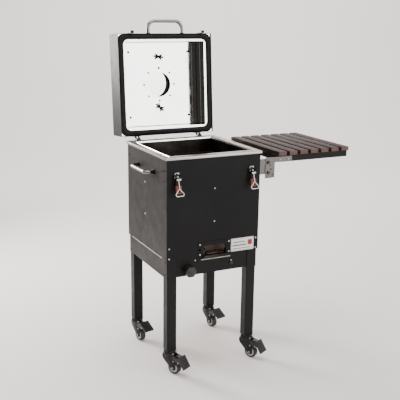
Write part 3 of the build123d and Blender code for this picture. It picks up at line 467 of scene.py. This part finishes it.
def dark_wood(name):
    """Oiled dark reddish-brown hardwood, grain along Y, lighter worn end grain."""
    s = Surface(name)
    figure = s.noise(1, detail=7, rough=0.62, vector=s.stretched((42, 3.2, 42)), distortion=0.9)
    pores = s.noise(1, detail=5, rough=0.7, vector=s.stretched((900, 26, 900)))
    tint = s.noise(1, detail=1, vector=s.stretched((17.6, 0.4, 3)))
    grain = s.ramp(figure, [(0.25, tone(27, 17, 16)), (0.48, tone(41, 28, 27)), (0.62, tone(53, 37, 34)),
                            (0.8, tone(33, 22, 20))])
    board = s.mix(s.spread(tint, 0.0, 0.45, 0.35, 0.65), grain, tone(55, 39, 37))
    board = s.mix(s.spread(pores, 0.0, 0.6, 0.56, 0.72), board, tone(25, 16, 15))
    geometry = s.nodes.new("ShaderNodeNewGeometry")
    split = s.nodes.new("ShaderNodeSeparateXYZ")
    s.link(geometry.outputs["Normal"], split.inputs[0])
    ends = s.spread(s.math("ABSOLUTE", split.outputs["Y"]), 0.0, 1.0, 0.7, 0.95)
    rings = s.noise(1, detail=5, vector=s.stretched((260, 30, 90)), distortion=1.4)
    end_wood = s.ramp(rings, [(0.3, tone(68, 50, 45)), (0.55, tone(106, 82, 74)), (0.75, tone(80, 60, 54))])
    board = s.mix(ends, board, end_wood)
    height = s.math("ADD", s.math("MULTIPLY", figure, 0.5), s.math("MULTIPLY", pores, -0.6))
    s.set(Base_Color=board, Roughness=s.spread(figure, 0.42, 0.6, 0.3, 0.7),
          Normal=s.bump(height, 0.35, 0.0006))
    s.shader.inputs["Specular IOR Level"].default_value = 0.2
    return s.material


def moulded(name, colour, light, rough=(0.28, 0.42), texture=0.08):
    """Moulded plastic or dipped vinyl."""
    s = Surface(name)
    cloud = s.noise(60, detail=4)
    base = s.mix(s.spread(cloud, 0.0, 1.0, 0.35, 0.7), tone(*colour), tone(*light))
    s.set(Base_Color=base, Roughness=s.spread(s.noise(140, detail=4), *rough, 0.35, 0.7),
          Normal=s.bump(s.noise(1700, detail=2), texture, 0.0002))
    return s.material


def gasket_rubber(name):
    """Woven-faced heat seal: matt near-black with a fine weave."""
    s = Surface(name)
    weave = s.cells(720)
    cloud = s.noise(18, detail=5)
    base = s.mix(s.spread(cloud, 0.0, 1.0, 0.35, 0.7), tone(22, 21, 21), tone(34, 33, 32))
    base = s.mix(s.spread(weave, 0.0, 0.5, 0.3, 0.8), base, tone(11, 11, 11))
    s.set(Base_Color=base, Roughness=s.spread(cloud, 0.55, 0.75), Normal=s.bump(weave, 0.4, 0.0004))
    s.shader.inputs["Specular IOR Level"].default_value = 0.16
    return s.material


def tyre_rubber(name):
    """Black wheel tread with patches of lighter dust."""
    s = Surface(name)
    cloud = s.noise(70, detail=6)
    base = s.mix(s.spread(cloud, 0.0, 1.0, 0.4, 0.75), tone(25, 25, 26), tone(62, 60, 57))
    s.set(Base_Color=base, Roughness=s.spread(cloud, 0.5, 0.75),
          Normal=s.bump(s.noise(900, detail=3), 0.25, 0.0003))
    return s.material


def wool(name):
    """Mineral wool board."""
    s = Surface(name)
    fibre = s.noise(1, detail=8, rough=0.75, vector=s.stretched((300, 300, 60)), distortion=2)
    base = s.ramp(fibre, [(0.3, tone(122, 108, 82)), (0.6, tone(190, 176, 142))])
    s.set(Base_Color=base, Roughness=0.95, Normal=s.bump(fibre, 0.8, 0.002))
    return s.material


def seasoned_iron(name):
    """Grate and basket: blackened steel with brown soot and worn, lighter tops."""
    s = Surface(name)
    soot = s.noise(34, detail=7, rough=0.65)
    base = s.ramp(soot, [(0.3, tone(22, 19, 17)), (0.55, tone(48, 40, 35)), (0.72, tone(78, 62, 52))])
    worn = s.math("MULTIPLY", s.upward(), s.spread(s.noise(120, detail=4), 0.0, 0.6, 0.5, 0.7))
    base = s.mix(worn, base, tone(128, 120, 112))
    s.set(Base_Color=base, Metallic=0.75, Roughness=s.spread(soot, 0.32, 0.62, 0.3, 0.7),
          Normal=s.bump(s.noise(500, detail=4), 0.3, 0.0004))
    return s.material


def enamel(name, colour):
    """Smooth white enamel with faint grime."""
    s = Surface(name)
    grime = s.noise(45, detail=6)
    base = s.mix(s.spread(grime, 0.0, 0.3, 0.5, 0.8), tone(*colour), tone(182, 176, 168))
    s.set(Base_Color=base, Roughness=s.spread(grime, 0.22, 0.4), Normal=s.bump(s.noise(500), 0.05, 0.0002))
    return s.material


PANEL = powder_coat("panel_coat", (14, 14, 15), (19, 19, 20), gloss=0.16)
STAND = powder_coat("stand_coat", (11, 10, 10), (16, 15, 15), gloss=0.2)
CASTER = powder_coat("caster_coat", (9, 9, 9), (15, 15, 15), rough=(0.26, 0.4), gloss=0.3)
STEEL_Z = brushed_steel("steel_brushed_z", (205, 200, 193), (420, 420, 3))
LINER = brushed_steel("liner_steel", (74, 67, 62), (300, 300, 4), rough=(0.22, 0.42))
MIRROR = polished_steel("steel_polished", (236, 235, 232))
CHROME = polished_steel("handle_polished", (118, 115, 111), rough=(0.08, 0.2))
ZINC = zinc("bright_zinc", (226, 224, 220))
DARK_BOLT = zinc("dark_bolt", (46, 44, 43), rough=(0.3, 0.5))
BRACKET = zinc("galvanised_plate", (128, 125, 121), rough=(0.3, 0.42), spangle=300)
WOOD = dark_wood("slat_wood")
GASKET = gasket_rubber("seal")
RED = moulded("red_grip", (122, 30, 28), (146, 44, 40), rough=(0.34, 0.5))
BLACK_PLASTIC = moulded("black_plastic", (20, 20, 21), (33, 33, 33))
GREY_PLASTIC = moulded("grey_core", (150, 149, 146), (178, 177, 173), rough=(0.35, 0.5))
TYRE = tyre_rubber("tyre_rubber")
WOOL = wool("mineral_wool")
IRON = seasoned_iron("seasoned_iron")
WHITE = enamel("white_enamel", (232, 230, 226))
INK = enamel("grey_ink", (70, 68, 68))
TRAY = tray_with_painted_reflection("lid_tray_steel")
# Near-black for painted shade in gaps, grooves, cuts and holes; the lid plate's screw heads take it too
SHADE_AND_SCREW_BLACK = powder_coat("painted_shade_and_screw_black", (24, 20, 18), (34, 28, 25), rough=(0.6, 0.8))
RIM = polished_steel("rim_steel", (226, 224, 219), rough=(0.08, 0.2))
TINTED = brushed_steel("heat_tinted", (50, 42, 37), (4, 300, 300), rough=(0.3, 0.5))
DULL_ZINC = zinc("dull_zinc", (188, 186, 182), rough=(0.3, 0.45))
PEDAL = moulded("pedal_black", (14, 14, 14), (24, 24, 24), rough=(0.35, 0.5), texture=0.2)
ACCENT = enamel("red_ink", (150, 42, 40))
RIM_BAND = brushed_steel("rim_band_steel", (176, 173, 168), (170, 170, 170), rough=(0.26, 0.36))

CAD_LOOKS = {
    PANEL: ("front_panel", "rear_panel", "left_panel", "right_panel", "lid_shell", "vent_frame"),
    STAND: ("base_pan", "end_aprons", "side_aprons", "hinge_brackets", "lid_hinge_leaves", "lid_strikes",
            "shelf_frame") + tuple(f"{corner}_leg" for corner in CORNERS),
    RIM_BAND: ("top_rim",),
    STEEL_Z: ("firebox_floor",),
    TINTED: ("ash_drawer", "air_damper"),
    LINER: ("inner_liner", "grate_rails"),
    TRAY: ("lid_liner",),
    MIRROR: ("lid_vent_cover",),
    CHROME: ("side_handle", "lid_handle"),
    ZINC: ("panel_bolts", "latch_bases", "hinge_pins", "lid_screws", "left_latch_loop", "right_latch_loop"),
    # The latch levers take the dark zinc as painted shade, for the shadow they stand in
    DARK_BOLT: ("left_latch_lever", "right_latch_lever"),
    BRACKET: ("shelf_brackets", "shelf_arms"),
    WOOD: ("shelf_slats",),
    GASKET: ("lid_gasket",),
    RED: ("left_latch_grip", "right_latch_grip"),
    BLACK_PLASTIC: ("control_knob",),
    WOOL: ("insulation", "lid_insulation"),
    IRON: ("cooking_grate", "charcoal_basket"),
    WHITE: ("name_plate",),
    CASTER: ("caster_plates",) + tuple(f"{corner}_{part}" for corner in CORNERS
                                       for part in ("fork", "brake_pedal")),
    TYRE: tuple(f"{corner}_wheel" for corner in CORNERS),
}
for material, names in CAD_LOOKS.items():
    for name in names:
        if name in NODES:
            NODES[name].data.materials.clear()
            NODES[name].data.materials.append(material)


# ---- how an outline is set in place --------------------------------------------------------------
def flat(a, b, c):
    """An outline along the first two directions, drawn out along the third."""
    return a, b, c


def side_on(a, b, c):
    """An outline along the first and third directions, drawn out along the second."""
    return a, c, b


def end_on(a, b, c):
    """An outline along the second and third directions, drawn out along the first."""
    return c, a, b


# ---- detailed pieces: lid ------------------------------------------------------------------------

def lid_pieces():
    seal = Piece(lid_at)
    rows = []
    for step in range(9):
        inset = step / 8
        depth = 8 - 8 * max(math.sin(math.pi * inset), 0.0) ** 0.6
        half = 238 - 26.5 * inset
        outline = rounded_rectangle(-half, half, 2 + 25 * inset, 473 - 25 * inset, 25, 8)
        rows.append([seal.vert(x, u, depth) for x, u in outline])
    seal.band(rows)
    seal.finish("seal_ring", "lid", "gasket_black", GASKET, "lid_gasket")

    # Painted shade: a thin near-black ring for the gap round the plate, with star marks and hole discs on the
    # plate's face
    painted_shade = Piece(lid_at)
    painted_shade.slab(rounded_rectangle(-201.6, 201.6, 36.4, 438.6, 1, 2), 98.1, 98.6, flat, 0,
                rounded_rectangle(-199.8, 199.8, 38.4, 436.6, 1, 2))
    for u, turn in ((369, 8), (125, 40)):
        for spoke in (-34, 0, 34):
            angle = math.radians(turn + spoke)
            along = (math.cos(angle), -math.sin(angle))
            reach = 18 if spoke else 23
            ends = [circle(side * reach * along[0], u + side * reach * along[1], 4.4, 12) for side in (-1, 1)]
            painted_shade.slab(hull(*ends), 98.05, 98.6, flat, 0)
    for hole in range(1, 8):
        angle = math.radians(90 + 45 * hole)
        painted_shade.turned((SCREW_RING * math.cos(angle), VENT_U + SCREW_RING * math.sin(angle), 98.6), (0, 0, -1),
                      [(0, 5), (0.5, 5), (0.5, 0)], 20)
    painted_shade.finish("lid_plate_cuts_painted_shade", "lid", "gasket_black", SHADE_AND_SCREW_BLACK)

    # A thin bright steel strip up each side wall of the tray: a painted reflection of a light line on the
    # wall
    reflection_lines = Piece(lid_at)
    for side in (-1, 1):
        reflection_lines.box(sorted((side * 201.5, side * 200.2)), (41, 434), (50, 52.5), 0.3)
    reflection_lines.finish("lid_wall_reflection_lines", "lid", "stainless", STEEL_Z)

    mark = Piece(lid_at)
    mark.tube([(x, u, 100.6) for x, u in circle(-15, 222, 29, 40)], 0.4, closed=True, sides=6)
    mark.finish("vent_cover_bead", "vent_cover", "mirror_steel", LINER)

    screws = Piece(lid_at)
    for x in (-155, 155):
        for u in (82, 392):
            screws.button((x, u, PLATE_FACE), (0, 0, -1), 5.8, 2.4)
    screws.button((0, PIVOT_U, PLATE_FACE), (0, 0, -1), 5.8, 2.4)
    screws.finish("lid_plate_screws", "lid", "gasket_black", SHADE_AND_SCREW_BLACK, "lid_screws")

    feet = Piece(lid_at)
    for x in (-86, 86):
        feet.turned((x, 475, 9.5), (0, 1, 0), [(0, 9.6), (1.6, 9.6), (2.5, 8.9), (2.5, 8.1)])
    feet.finish("lid_handle_feet", "lid", "gasket_black", DARK_BOLT)

    rivets = Piece(lid_at)
    for x in (-180, 180):
        for depth in (-8, 14):
            rivets.button((x, 477, depth), (0, 1, 0), 2.8, 1.4)
    rivets.finish("strike_rivets", "lid", "stand_black", STAND)


# ---- detailed pieces: box ------------------------------------------------------------------------
def box_pieces():
    rim = Piece()
    rim.square_frame([(231, 964), (231, 973.4), (230.5, 974.5), (229.2, 975.1), (206.2, 974.9),
                      (205.2, 973.9), (205.2, 972.5), (229, 972.5), (229, 964)])
    rim.finish("rim_frame", "base", "stainless", RIM_BAND, "top_rim")
    bead = Piece()
    bead.square_frame([(205.3, 972.4), (204.4, 973.9), (203.6, 975.3), (202, 975.9), (200.2, 975.9),
                       (198.4, 975.2), (197.5, 973.6), (197.5, 964), (199.5, 964), (199.5, 972.4)])
    bead.finish("rim_bead", "base", "stainless", RIM)

    rim_screws = Piece()
    for place in (-150, 0, 150):
        for x, y in ((place, -217), (place, 217), (-217, place), (217, place)):
            rim_screws.button((x, y, 974.9), UP, 3, 1.1)
    rim_screws.finish("rim_screws", "base", "bright_steel", DARK_BOLT)

    # A bright steel strip along the left panel's lower edge: partly the bare edge of the base pan, partly a
    # painted highlight on that edge
    strip = Piece()
    strip.box((-226, -225), (-176, 176), (524.4, 527.6), 0.3)
    strip.finish("panel_bottom_edge_and_highlight", "base", "stainless", STEEL_Z)

    bright = Piece()
    dark = Piece()
    for z in (679, 826):
        for centre, axis in (((2, -BODY, z), FRONT), ((2, BODY, z), REAR),
                             ((-BODY, 12, z), LEFT), ((BODY, 12, z), RIGHT)):
            bright.button(centre, axis, 3.6, 2.4)
    for x in (-213, 213):
        for z in (533, 578):
            bright.button((x, -BODY, z), FRONT, 3.8, 2.4)
            bright.button((x, BODY, z), REAR, 3.8, 2.4)
    for x in (-66.5, 75.5):
        for z in (533, 579):
            bright.button((x, -227, z), FRONT, 3.8, 2.4)
    for x, z in ((-84, 508), (95, 484)):
        bright.button((x, -215, z), FRONT, 3.8, 2.4)
    dark.button((-88, -215, 467), FRONT, 3.8, 2.4)
    for y in (-200, 200):
        for z in (871, 916):
            dark.button((-BODY, y, z), LEFT, 3.8, 2.4)
        for z in (456, 512):
            dark.button((-221, y, z), LEFT, 3.6, 2.4)
            dark.button((221, y, z), RIGHT, 3.6, 2.4)
    for y in (-190, 190):
        for z in (880, 920):
            bright.button((228, y, z), RIGHT, 3.6, 2.4)
    bright.finish("bright_button_heads", "base", "bright_steel", ZINC, "panel_bolts")
    dark.finish("dark_button_heads", "base", "bright_steel", DARK_BOLT)

    feet = Piece()
    for y in (-86, 92):
        feet.turned((-BODY, y, 889), LEFT, [(0, 12.4), (2, 12.4), (2.9, 11.4), (2.9, 8.1)])
        feet.nut((-227.9, y, 889), LEFT, 10.6, 5)
    feet.finish("side_handle_feet", "base", "gasket_black", DARK_BOLT)

    # A black domed boss just under the bright bolt at the apron's right: a painted shadow of that bolt
    bolt_shadow = Piece()
    bolt_shadow.turned((95, -215, 474), FRONT, [(0, 9), (5, 8.4), (6.5, 6.5), (6.5, 0)])
    bolt_shadow.finish("apron_bolt_shadow", "base", "knob_black", BLACK_PLASTIC)

    grip = Piece()
    outline = []
    for i in range(72):
        angle = 2 * math.pi * i / 72
        reach = 23.6 + 2.2 * math.cos(6 * angle)
        outline.append((reach * math.cos(angle), reach * math.sin(angle)))
    grip.slab(outline, -215.8, -251, lambda a, b, c: (-118 + a, c, 469 + b), 3.2, segments=4)
    grip.turned((-118, -250, 469), FRONT, [(0, 15), (2, 14.4), (2.8, 12), (2.4, 0)])
    grip.turned((-118, -215.6, 469), REAR, [(0, 5), (14, 5), (14, 0)])
    grip.finish("lobed_knob", "knob", "knob_black", BLACK_PLASTIC, "control_knob")

    plate = Piece()
    plate.slab(rounded_rectangle(87, 203, 527.5, 586.5, 2.5), -225, -226, side_on, 0.25)
    plate.finish("plate_face", "base", "plate_white", WHITE, "name_plate")
    ink = Piece()
    ink.slab(rounded_rectangle(89, 201, 529.5, 584.5, 2), -225.95, -226.1, side_on, 0,
             rounded_rectangle(89.8, 200.2, 530.3, 583.7, 2))
    for left, right, low, high in ((98, 160, 566, 570), (94, 166, 551, 556), (98, 186, 537, 540)):
        ink.slab(rounded_rectangle(left, right, low, high, 1.2), -225.95, -226.15, side_on, 0)
    ink.finish("plate_bars", "base", "plate_white", INK)
    accent = Piece()
    accent.slab(rounded_rectangle(172, 194, 551, 575, 5), -225.95, -226.2, side_on, 0)
    accent.finish("plate_square", "base", "plate_white", ACCENT)

    pull = Piece()
    pull.slab(rounded_rectangle(-48.5, 57.5, 529, 549, 2, 6), -218, -219.4, side_on, 0.3,
              rounded_rectangle(-28, 37, 531, 547, 7.9, 6))
    pull.finish("drawer_pull_plate", "drawer", "stainless", TINTED)
    # Painted shade: a thin near-black sheet behind the pull plate, seen through its finger hole
    finger_hole_shading = Piece()
    finger_hole_shading.box((-46, 55), (-217.9, -217.6), (530, 548), 0)
    finger_hole_shading.finish("drawer_finger_hole_painted_shade", "drawer", "stainless", SHADE_AND_SCREW_BLACK)
    lip = Piece()
    lip.turned((-69, -238, 515), RIGHT, [(0, 0), (0, 2.8), (0.9, 3.7), (145.1, 3.7), (146, 2.8), (146, 0)])
    lip.button((-8, -241.2, 515), FRONT, 5, 3)
    lip.finish("drawer_lip_bar", "drawer", "bright_steel", CHROME)


# ---- detailed pieces: latches ----------------------------------------------------------------------
TILT = math.radians(12)


def latch_pieces():
    plates = Piece()
    bright = Piece()
    for x in (-LATCH_X, LATCH_X):
        plates.slab(rounded_rectangle(x - 15, x + 15, 869, 910, 3), -BODY, -BODY - 2, side_on, 0.4)
        bright.box((x - 10, x + 10), (-232.4, -226.8), (907.8, 910.2), 0.5)
        bright.button((x - 8, -227, 903), FRONT, 2.9, 1.8)
        bright.button((x + 8, -227, 903), FRONT, 2.9, 1.8)
        for ear in (-1, 1):
            low, high = sorted((x + ear * 11, x + ear * 13))
            plates.slab(hull(circle(-LATCH_OUT, LATCH_UP, 6), [(-227, 899), (-227, 879)]), low, high,
                        end_on, 0.3)
            bright.button((x + ear * 13, -LATCH_OUT, LATCH_UP), (ear, 0, 0), 3.8, 1.8)
        bright.turned((x - 13, -LATCH_OUT, LATCH_UP), RIGHT, [(0, 2.3), (26, 2.3)])
    plates.finish("latch_base_plates", "base", "bright_steel", DARK_BOLT, "latch_bases")
    bright.finish("latch_rivets", "base", "bright_steel", ZINC)
    for name, x in (("left", -LATCH_X), ("right", LATCH_X)):
        def lever_at(across, out, down, x=x):
            return at(x + across, -LATCH_OUT - out * math.cos(TILT) - down * math.sin(TILT),
                      LATCH_UP + out * math.sin(TILT) - down * math.cos(TILT))
        grip = Piece(lever_at)
        grip.slab(rounded_rectangle(-13, 13, -5.5, 5.5, 4), 37, 70, flat, 1.6, segments=3)
        grip.finish(f"{name}_vinyl_grip", f"{name}_lever", "grip_red", RED, f"{name}_latch_grip")
        # Painted shade: a thin near-black strip on the grip's face for its groove
        painted_shade = Piece(lever_at)
        painted_shade.box((-4.5, 4.5), (5.4, 5.7), (41, 66), 0)
        painted_shade.finish(f"{name}_grip_groove_painted_shade", f"{name}_lever", "grip_red", SHADE_AND_SCREW_BLACK)
        bolt = Piece()
        bolt.box((x - 10, x + 10), (-251, -247), (880.4, 887.6), 1.1)
        bolt.finish(f"{name}_loop_block", f"{name}_loop", "bright_steel", ZINC)


# ---- detailed pieces: shelf -------------------------------------------------------------------------
def shelf_pieces():
    heads = Piece()
    hole_shades = Piece()
    bolts = Piece()
    for side in (-1, 1):
        out = (0, side, 0)
        for z in (871, 918):
            stud = [(0, 7.2), (3.2, 7.2), (4.8, 6), (4.8, 3), (3, 3), (3, 0)]
            heads.turned((271, side * 219.7, z), out, stud)
        # Painted shade: thin near-black discs on the arms for their holes
        for x, z, radius in ((279, 904, 3.2), (284, 886, 3.8), (294, 862, 3.2)):
            hole_shades.turned((x, side * 219.4, z), out, [(0, radius), (0.25, radius), (0.25, 0)], 20)
        for x in (333.5, 376.5):
            bolts.button((x, side * 219.5, 926.5), out, 3.4, 2)
    heads.finish("shelf_stud_heads", "base", "gasket_black", DARK_BOLT)
    hole_shades.finish("arm_holes_painted_shade", "shelf", "gasket_black", SHADE_AND_SCREW_BLACK)
    bolts.finish("arm_bolts", "shelf", "bright_steel", ZINC)

    boards = Piece()
    screws = Piece()
    for slat in range(SLATS):
        left = SLAT_LEFT + slat * SLAT_PITCH
        board = rounded_rectangle(left, left + SLAT_WIDTH, -224, 224, 2, 3)
        boards.slab(board, SLAT_LOW, SLAT_HIGH, flat, 1.6, segments=3)
        for y in (-205, 205):
            screws.button((left + SLAT_WIDTH / 2, y, SLAT_LOW), (0, 0, -1), 3.4, 1.6)
    boards.finish("shelf_boards", "shelf", "slat_wood", WOOD, "shelf_slats")
    screws.finish("slat_screws", "shelf", "bright_steel", ZINC)


# ---- detailed pieces: casters -------------------------------------------------------------------------
AXLE = (28, 22)
TREADLE = (36, 74)
LIFT = math.radians(28)


def caster_pieces():
    for corner in CORNERS:
        x = CASTER_OFF if "right" in corner else -CASTER_OFF
        rear = "rear" in corner
        y = CASTER_OFF if rear else -CASTER_OFF
        heading = math.radians(REAR_HEADING if rear else FRONT_HEADING)
        along = (math.cos(heading), math.sin(heading))
        across = (math.sin(heading), -math.cos(heading))

        def caster_at(a, b, z, x=x, y=y, along=along, across=across):
            return at(x + a * along[0] + b * across[0], y + a * along[1] + b * across[1], z)

        def pedal_at(a, b, z, caster_at=caster_at, lift=LIFT if rear else 0.0):
            da, dz = a - TREADLE[0], z - TREADLE[1]
            return caster_at(TREADLE[0] + da * math.cos(lift) - dz * math.sin(lift), b,
                             TREADLE[1] + da * math.sin(lift) + dz * math.cos(lift))

        body = f"{corner}_caster"
        hood = Piece(caster_at)
        bearing = [(0, 0), (0, 24), (1, 26.5), (5, 27.6), (7, 27.6), (7.4, 25), (9.4, 25), (9.8, 28),
                   (18, 28), (21.4, 25.5), (21.6, 0)]
        hood.turned((0, 0, 101.6), (0, 0, -1), bearing, 36)
        for side in (-1, 1):
            low, high = sorted((side * 13.2, side * 16.2))
            shape = hull(circle(*AXLE, 12), circle(-6, 72, 24), circle(*TREADLE, 7))
            hood.slab(shape, low, high, side_on, 1.0, segments=3)
            rib = hull(circle(*AXLE, 7), circle(-6, 72, 14))
            low, high = sorted((side * 16.0, side * 17.2))
            hood.slab(rib, low, high, side_on, 0.8, segments=2)
        hood.box((-20, 22), (-16, 16), (78, 84), 1)
        hood.finish(f"{corner}_hood", body, "caster_black", CASTER, f"{corner}_fork")

        bright = Piece(caster_at)
        for side in (-1, 1):
            bright.button((30, side * 16.2, 54), (0, side, 0), 3.8, 2.2)
            bright.nut((AXLE[0], side * 17.2, AXLE[1]), (0, side, 0), 4.6, 3)
            bright.nut((25, side * 11, 88.5), (2.2, side, 0), 5.6, 5.5)
        bright.finish(f"{corner}_caster_bolts", body, "bright_steel", DULL_ZINC)

        roller = f"{corner}_roller"
        tyre = Piece(caster_at)
        tread = [(-12, 21.5), (-12, 26.6), (-11, 28.6), (-9, 30), (9, 30), (11, 28.6), (12, 26.6), (12, 21.5)]
        tyre.collar((AXLE[0], 0, AXLE[1]), REAR, tread, 48)
        tyre.finish(f"{corner}_tyre", roller, "tyre", TYRE, f"{corner}_wheel")
        core = Piece(caster_at)
        rim = [(-11.6, 13.6), (-11.8, 20.2), (-10, 21.7), (10, 21.7), (11.8, 20.2), (11.6, 13.6)]
        core.collar((AXLE[0], 0, AXLE[1]), REAR, rim, 48)
        core.finish(f"{corner}_wheel_core", roller, "tyre", GREY_PLASTIC)
        hub = Piece(caster_at)
        bush = [(-12, 4.2), (-12, 9), (-11.4, 13.8), (11.4, 13.8), (12, 9), (12, 4.2)]
        hub.collar((AXLE[0], 0, AXLE[1]), REAR, bush)
        hub.finish(f"{corner}_wheel_hub", roller, "tyre", BLACK_PLASTIC)

        pedal = Piece(pedal_at)
        top, tip = Vector((67, 84)), Vector((98, 35))
        slope = (tip - top).normalized()
        inward = Vector((slope.y, -slope.x))
        inner_tip, inner_top = tip + inward * 9, top + inward * 9
        foot = [tuple(top), tuple(tip), tuple(inner_tip), tuple(inner_top)]
        pedal.slab(foot, -25, 25, side_on, 1.6, segments=3)
        for rib in range(6):
            middle = top + slope * (9 + rib * 8)
            low, high = (middle + slope * side * 1.6 for side in (-1, 1))
            outline = [tuple(low), tuple(low - inward * 1.6), tuple(high - inward * 1.6), tuple(high)]
            pedal.slab(outline, -22, 22, side_on, 0.5)
        neck = hull(circle(*TREADLE, 6), [(60, 81), (64, 81), (64, 73), (60, 73)])
        pedal.slab(neck, -12.2, 12.2, side_on, 0.6)
        for side in (-1, 1):
            low, high = sorted((side * 17.4, side * 19.4))
            ear = hull(circle(*TREADLE, 6), circle(60, 55, 6), [(72, 62), (66, 76)])
            pedal.slab(ear, low, high, side_on, 0.5)
        pedal.finish(f"{corner}_treadle", f"{corner}_brake", "caster_black", PEDAL, f"{corner}_brake_pedal")
        stud = Piece(pedal_at)
        for side in (-1, 1):
            stud.button((60, side * 19.4, 56), (0, side, 0), 3.6, 2.2)
        stud.finish(f"{corner}_treadle_bolts", f"{corner}_brake", "bright_steel", DULL_ZINC)


lid_pieces()
box_pieces()
latch_pieces()
shelf_pieces()
caster_pieces()


# ---- stage, light and camera ---------------------------------------------------------------------
def pale_floor():
    """A pale sweep: flat floor that curves up into a wall far behind."""
    s = Surface("studio_floor")
    cloud = s.noise(0.8, detail=3)
    s.set(Base_Color=s.mix(cloud, tone(234, 229, 226), tone(239, 234, 231)), Roughness=0.85)
    s.shader.inputs["Specular IOR Level"].default_value = 0.1
    bm = bmesh.new()
    width = 14.0
    front = -9.0
    back = 4.5
    bend = 3.0
    height = 9.0
    profile = [(front, 0.0), (back, 0.0)]
    profile += [(back + bend * math.sin(a), bend * (1 - math.cos(a))) for a in
                (math.radians(step * 7.5) for step in range(1, 13))]
    profile.append((back + bend, height))
    rows = []
    for y, z in profile:
        rows.append([bm.verts.new((x, y, z)) for x in (-width, width)])
    for low, high in zip(rows, rows[1:]):
        bm.faces.new((low[0], low[1], high[1], high[0]))
    mesh = bpy.data.meshes.new("studio_floor")
    bm.to_mesh(mesh)
    bm.free()
    mesh.shade_smooth()
    mesh.materials.append(s.material)
    floor = bpy.data.objects.new("studio_floor", mesh)
    floor.rotation_euler.z = -CAMERA_YAW
    bpy.context.scene.collection.objects.link(floor)


def area_light(name, place, target, size, power, colour=(1, 1, 1)):
    light = bpy.data.lights.new(name, "AREA")
    light.shape = "RECTANGLE"
    light.size, light.size_y = size
    light.energy = power
    light.color = colour
    lamp = bpy.data.objects.new(name, light)
    lamp.location = place
    lamp.rotation_euler = (Vector(target) - Vector(place)).to_track_quat("-Z", "Y").to_euler()
    bpy.context.scene.collection.objects.link(lamp)
    return lamp


CAMERA_YAW = 0.461
CAMERA_PITCH = -0.249
CAMERA_ROLL = 0.013


def photographer():
    """The camera: a long lens, left of the front, a little above the lid."""
    yaw, pitch, roll = CAMERA_YAW, CAMERA_PITCH, CAMERA_ROLL
    forward = Vector((math.sin(yaw) * math.cos(pitch), math.cos(yaw) * math.cos(pitch), math.sin(pitch)))
    level = Vector((math.cos(yaw), -math.sin(yaw), 0))
    up = level.cross(forward)
    right = level * math.cos(roll) + up * math.sin(roll)
    top = up * math.cos(roll) - level * math.sin(roll)
    data = bpy.data.cameras.new("camera")
    data.lens = 66.85
    data.sensor_width = 36.0
    data.clip_end = 60
    camera = bpy.data.objects.new("camera", data)
    turn = Matrix((right, top, -forward)).transposed()
    camera.matrix_world = Matrix.Translation(at(-1439.7, -2984.5, 1564.5)) @ turn.to_4x4()
    bpy.context.scene.collection.objects.link(camera)
    bpy.context.scene.camera = camera


def studio():
    """Soft world light, brighter at the front right and a little dimmer at the front left, and soft boxes."""
    world = bpy.data.worlds.new("studio")
    world.use_nodes = True
    nodes, links = world.node_tree.nodes, world.node_tree.links
    coords = nodes.new("ShaderNodeTexCoord")
    colour = None
    for direction, start, end, peak in (((0.43, -0.9, -0.1), 0.80, 0.93, (2.6, 2.6, 2.6, 1)),
                                        ((-0.55, -0.83, 0.0), 0.80, 0.93, (0.5, 0.49, 0.48, 1))):
        dot = nodes.new("ShaderNodeVectorMath")
        dot.operation = "DOT_PRODUCT"
        dot.inputs[1].default_value = Vector(direction).normalized()
        links.new(coords.outputs["Generated"], dot.inputs[0])
        edge = nodes.new("ShaderNodeMapRange")
        edge.interpolation_type = "SMOOTHSTEP"
        edge.inputs["From Min"].default_value = start
        edge.inputs["From Max"].default_value = end
        links.new(dot.outputs["Value"], edge.inputs["Value"])
        mix = nodes.new("ShaderNodeMix")
        mix.data_type = "RGBA"
        links.new(edge.outputs["Result"], mix.inputs[0])
        mix.inputs[6].default_value = tone(228, 224, 221)
        if colour:
            links.new(colour, mix.inputs[6])
        mix.inputs[7].default_value = peak
        colour = mix.outputs[2]
    links.new(colour, nodes["Background"].inputs["Color"])
    nodes["Background"].inputs["Strength"].default_value = 1.05
    bpy.context.scene.world = world
    target = at(0, 0, 800)
    area_light("key_left", at(-2400, -900, 2800), target, (1.6, 1.6), 18)
    area_light("rear_left", at(-1250, 2050, 1580), at(-230, 0, 1350), (0.7, 0.9), 95, (1.0, 0.96, 0.92))
    area_light("top", at(200, 200, 3600), target, (2.4, 2.4), 100)
    area_light("backdrop_wash", at(1200, 2500, 4500), at(3000, 6500, 1500), (6.0, 2.0), 400)
    area_light("front_fill", at(1600, -2600, 1500), target, (1.6, 1.6), 20)


photographer()
pale_floor()
studio()
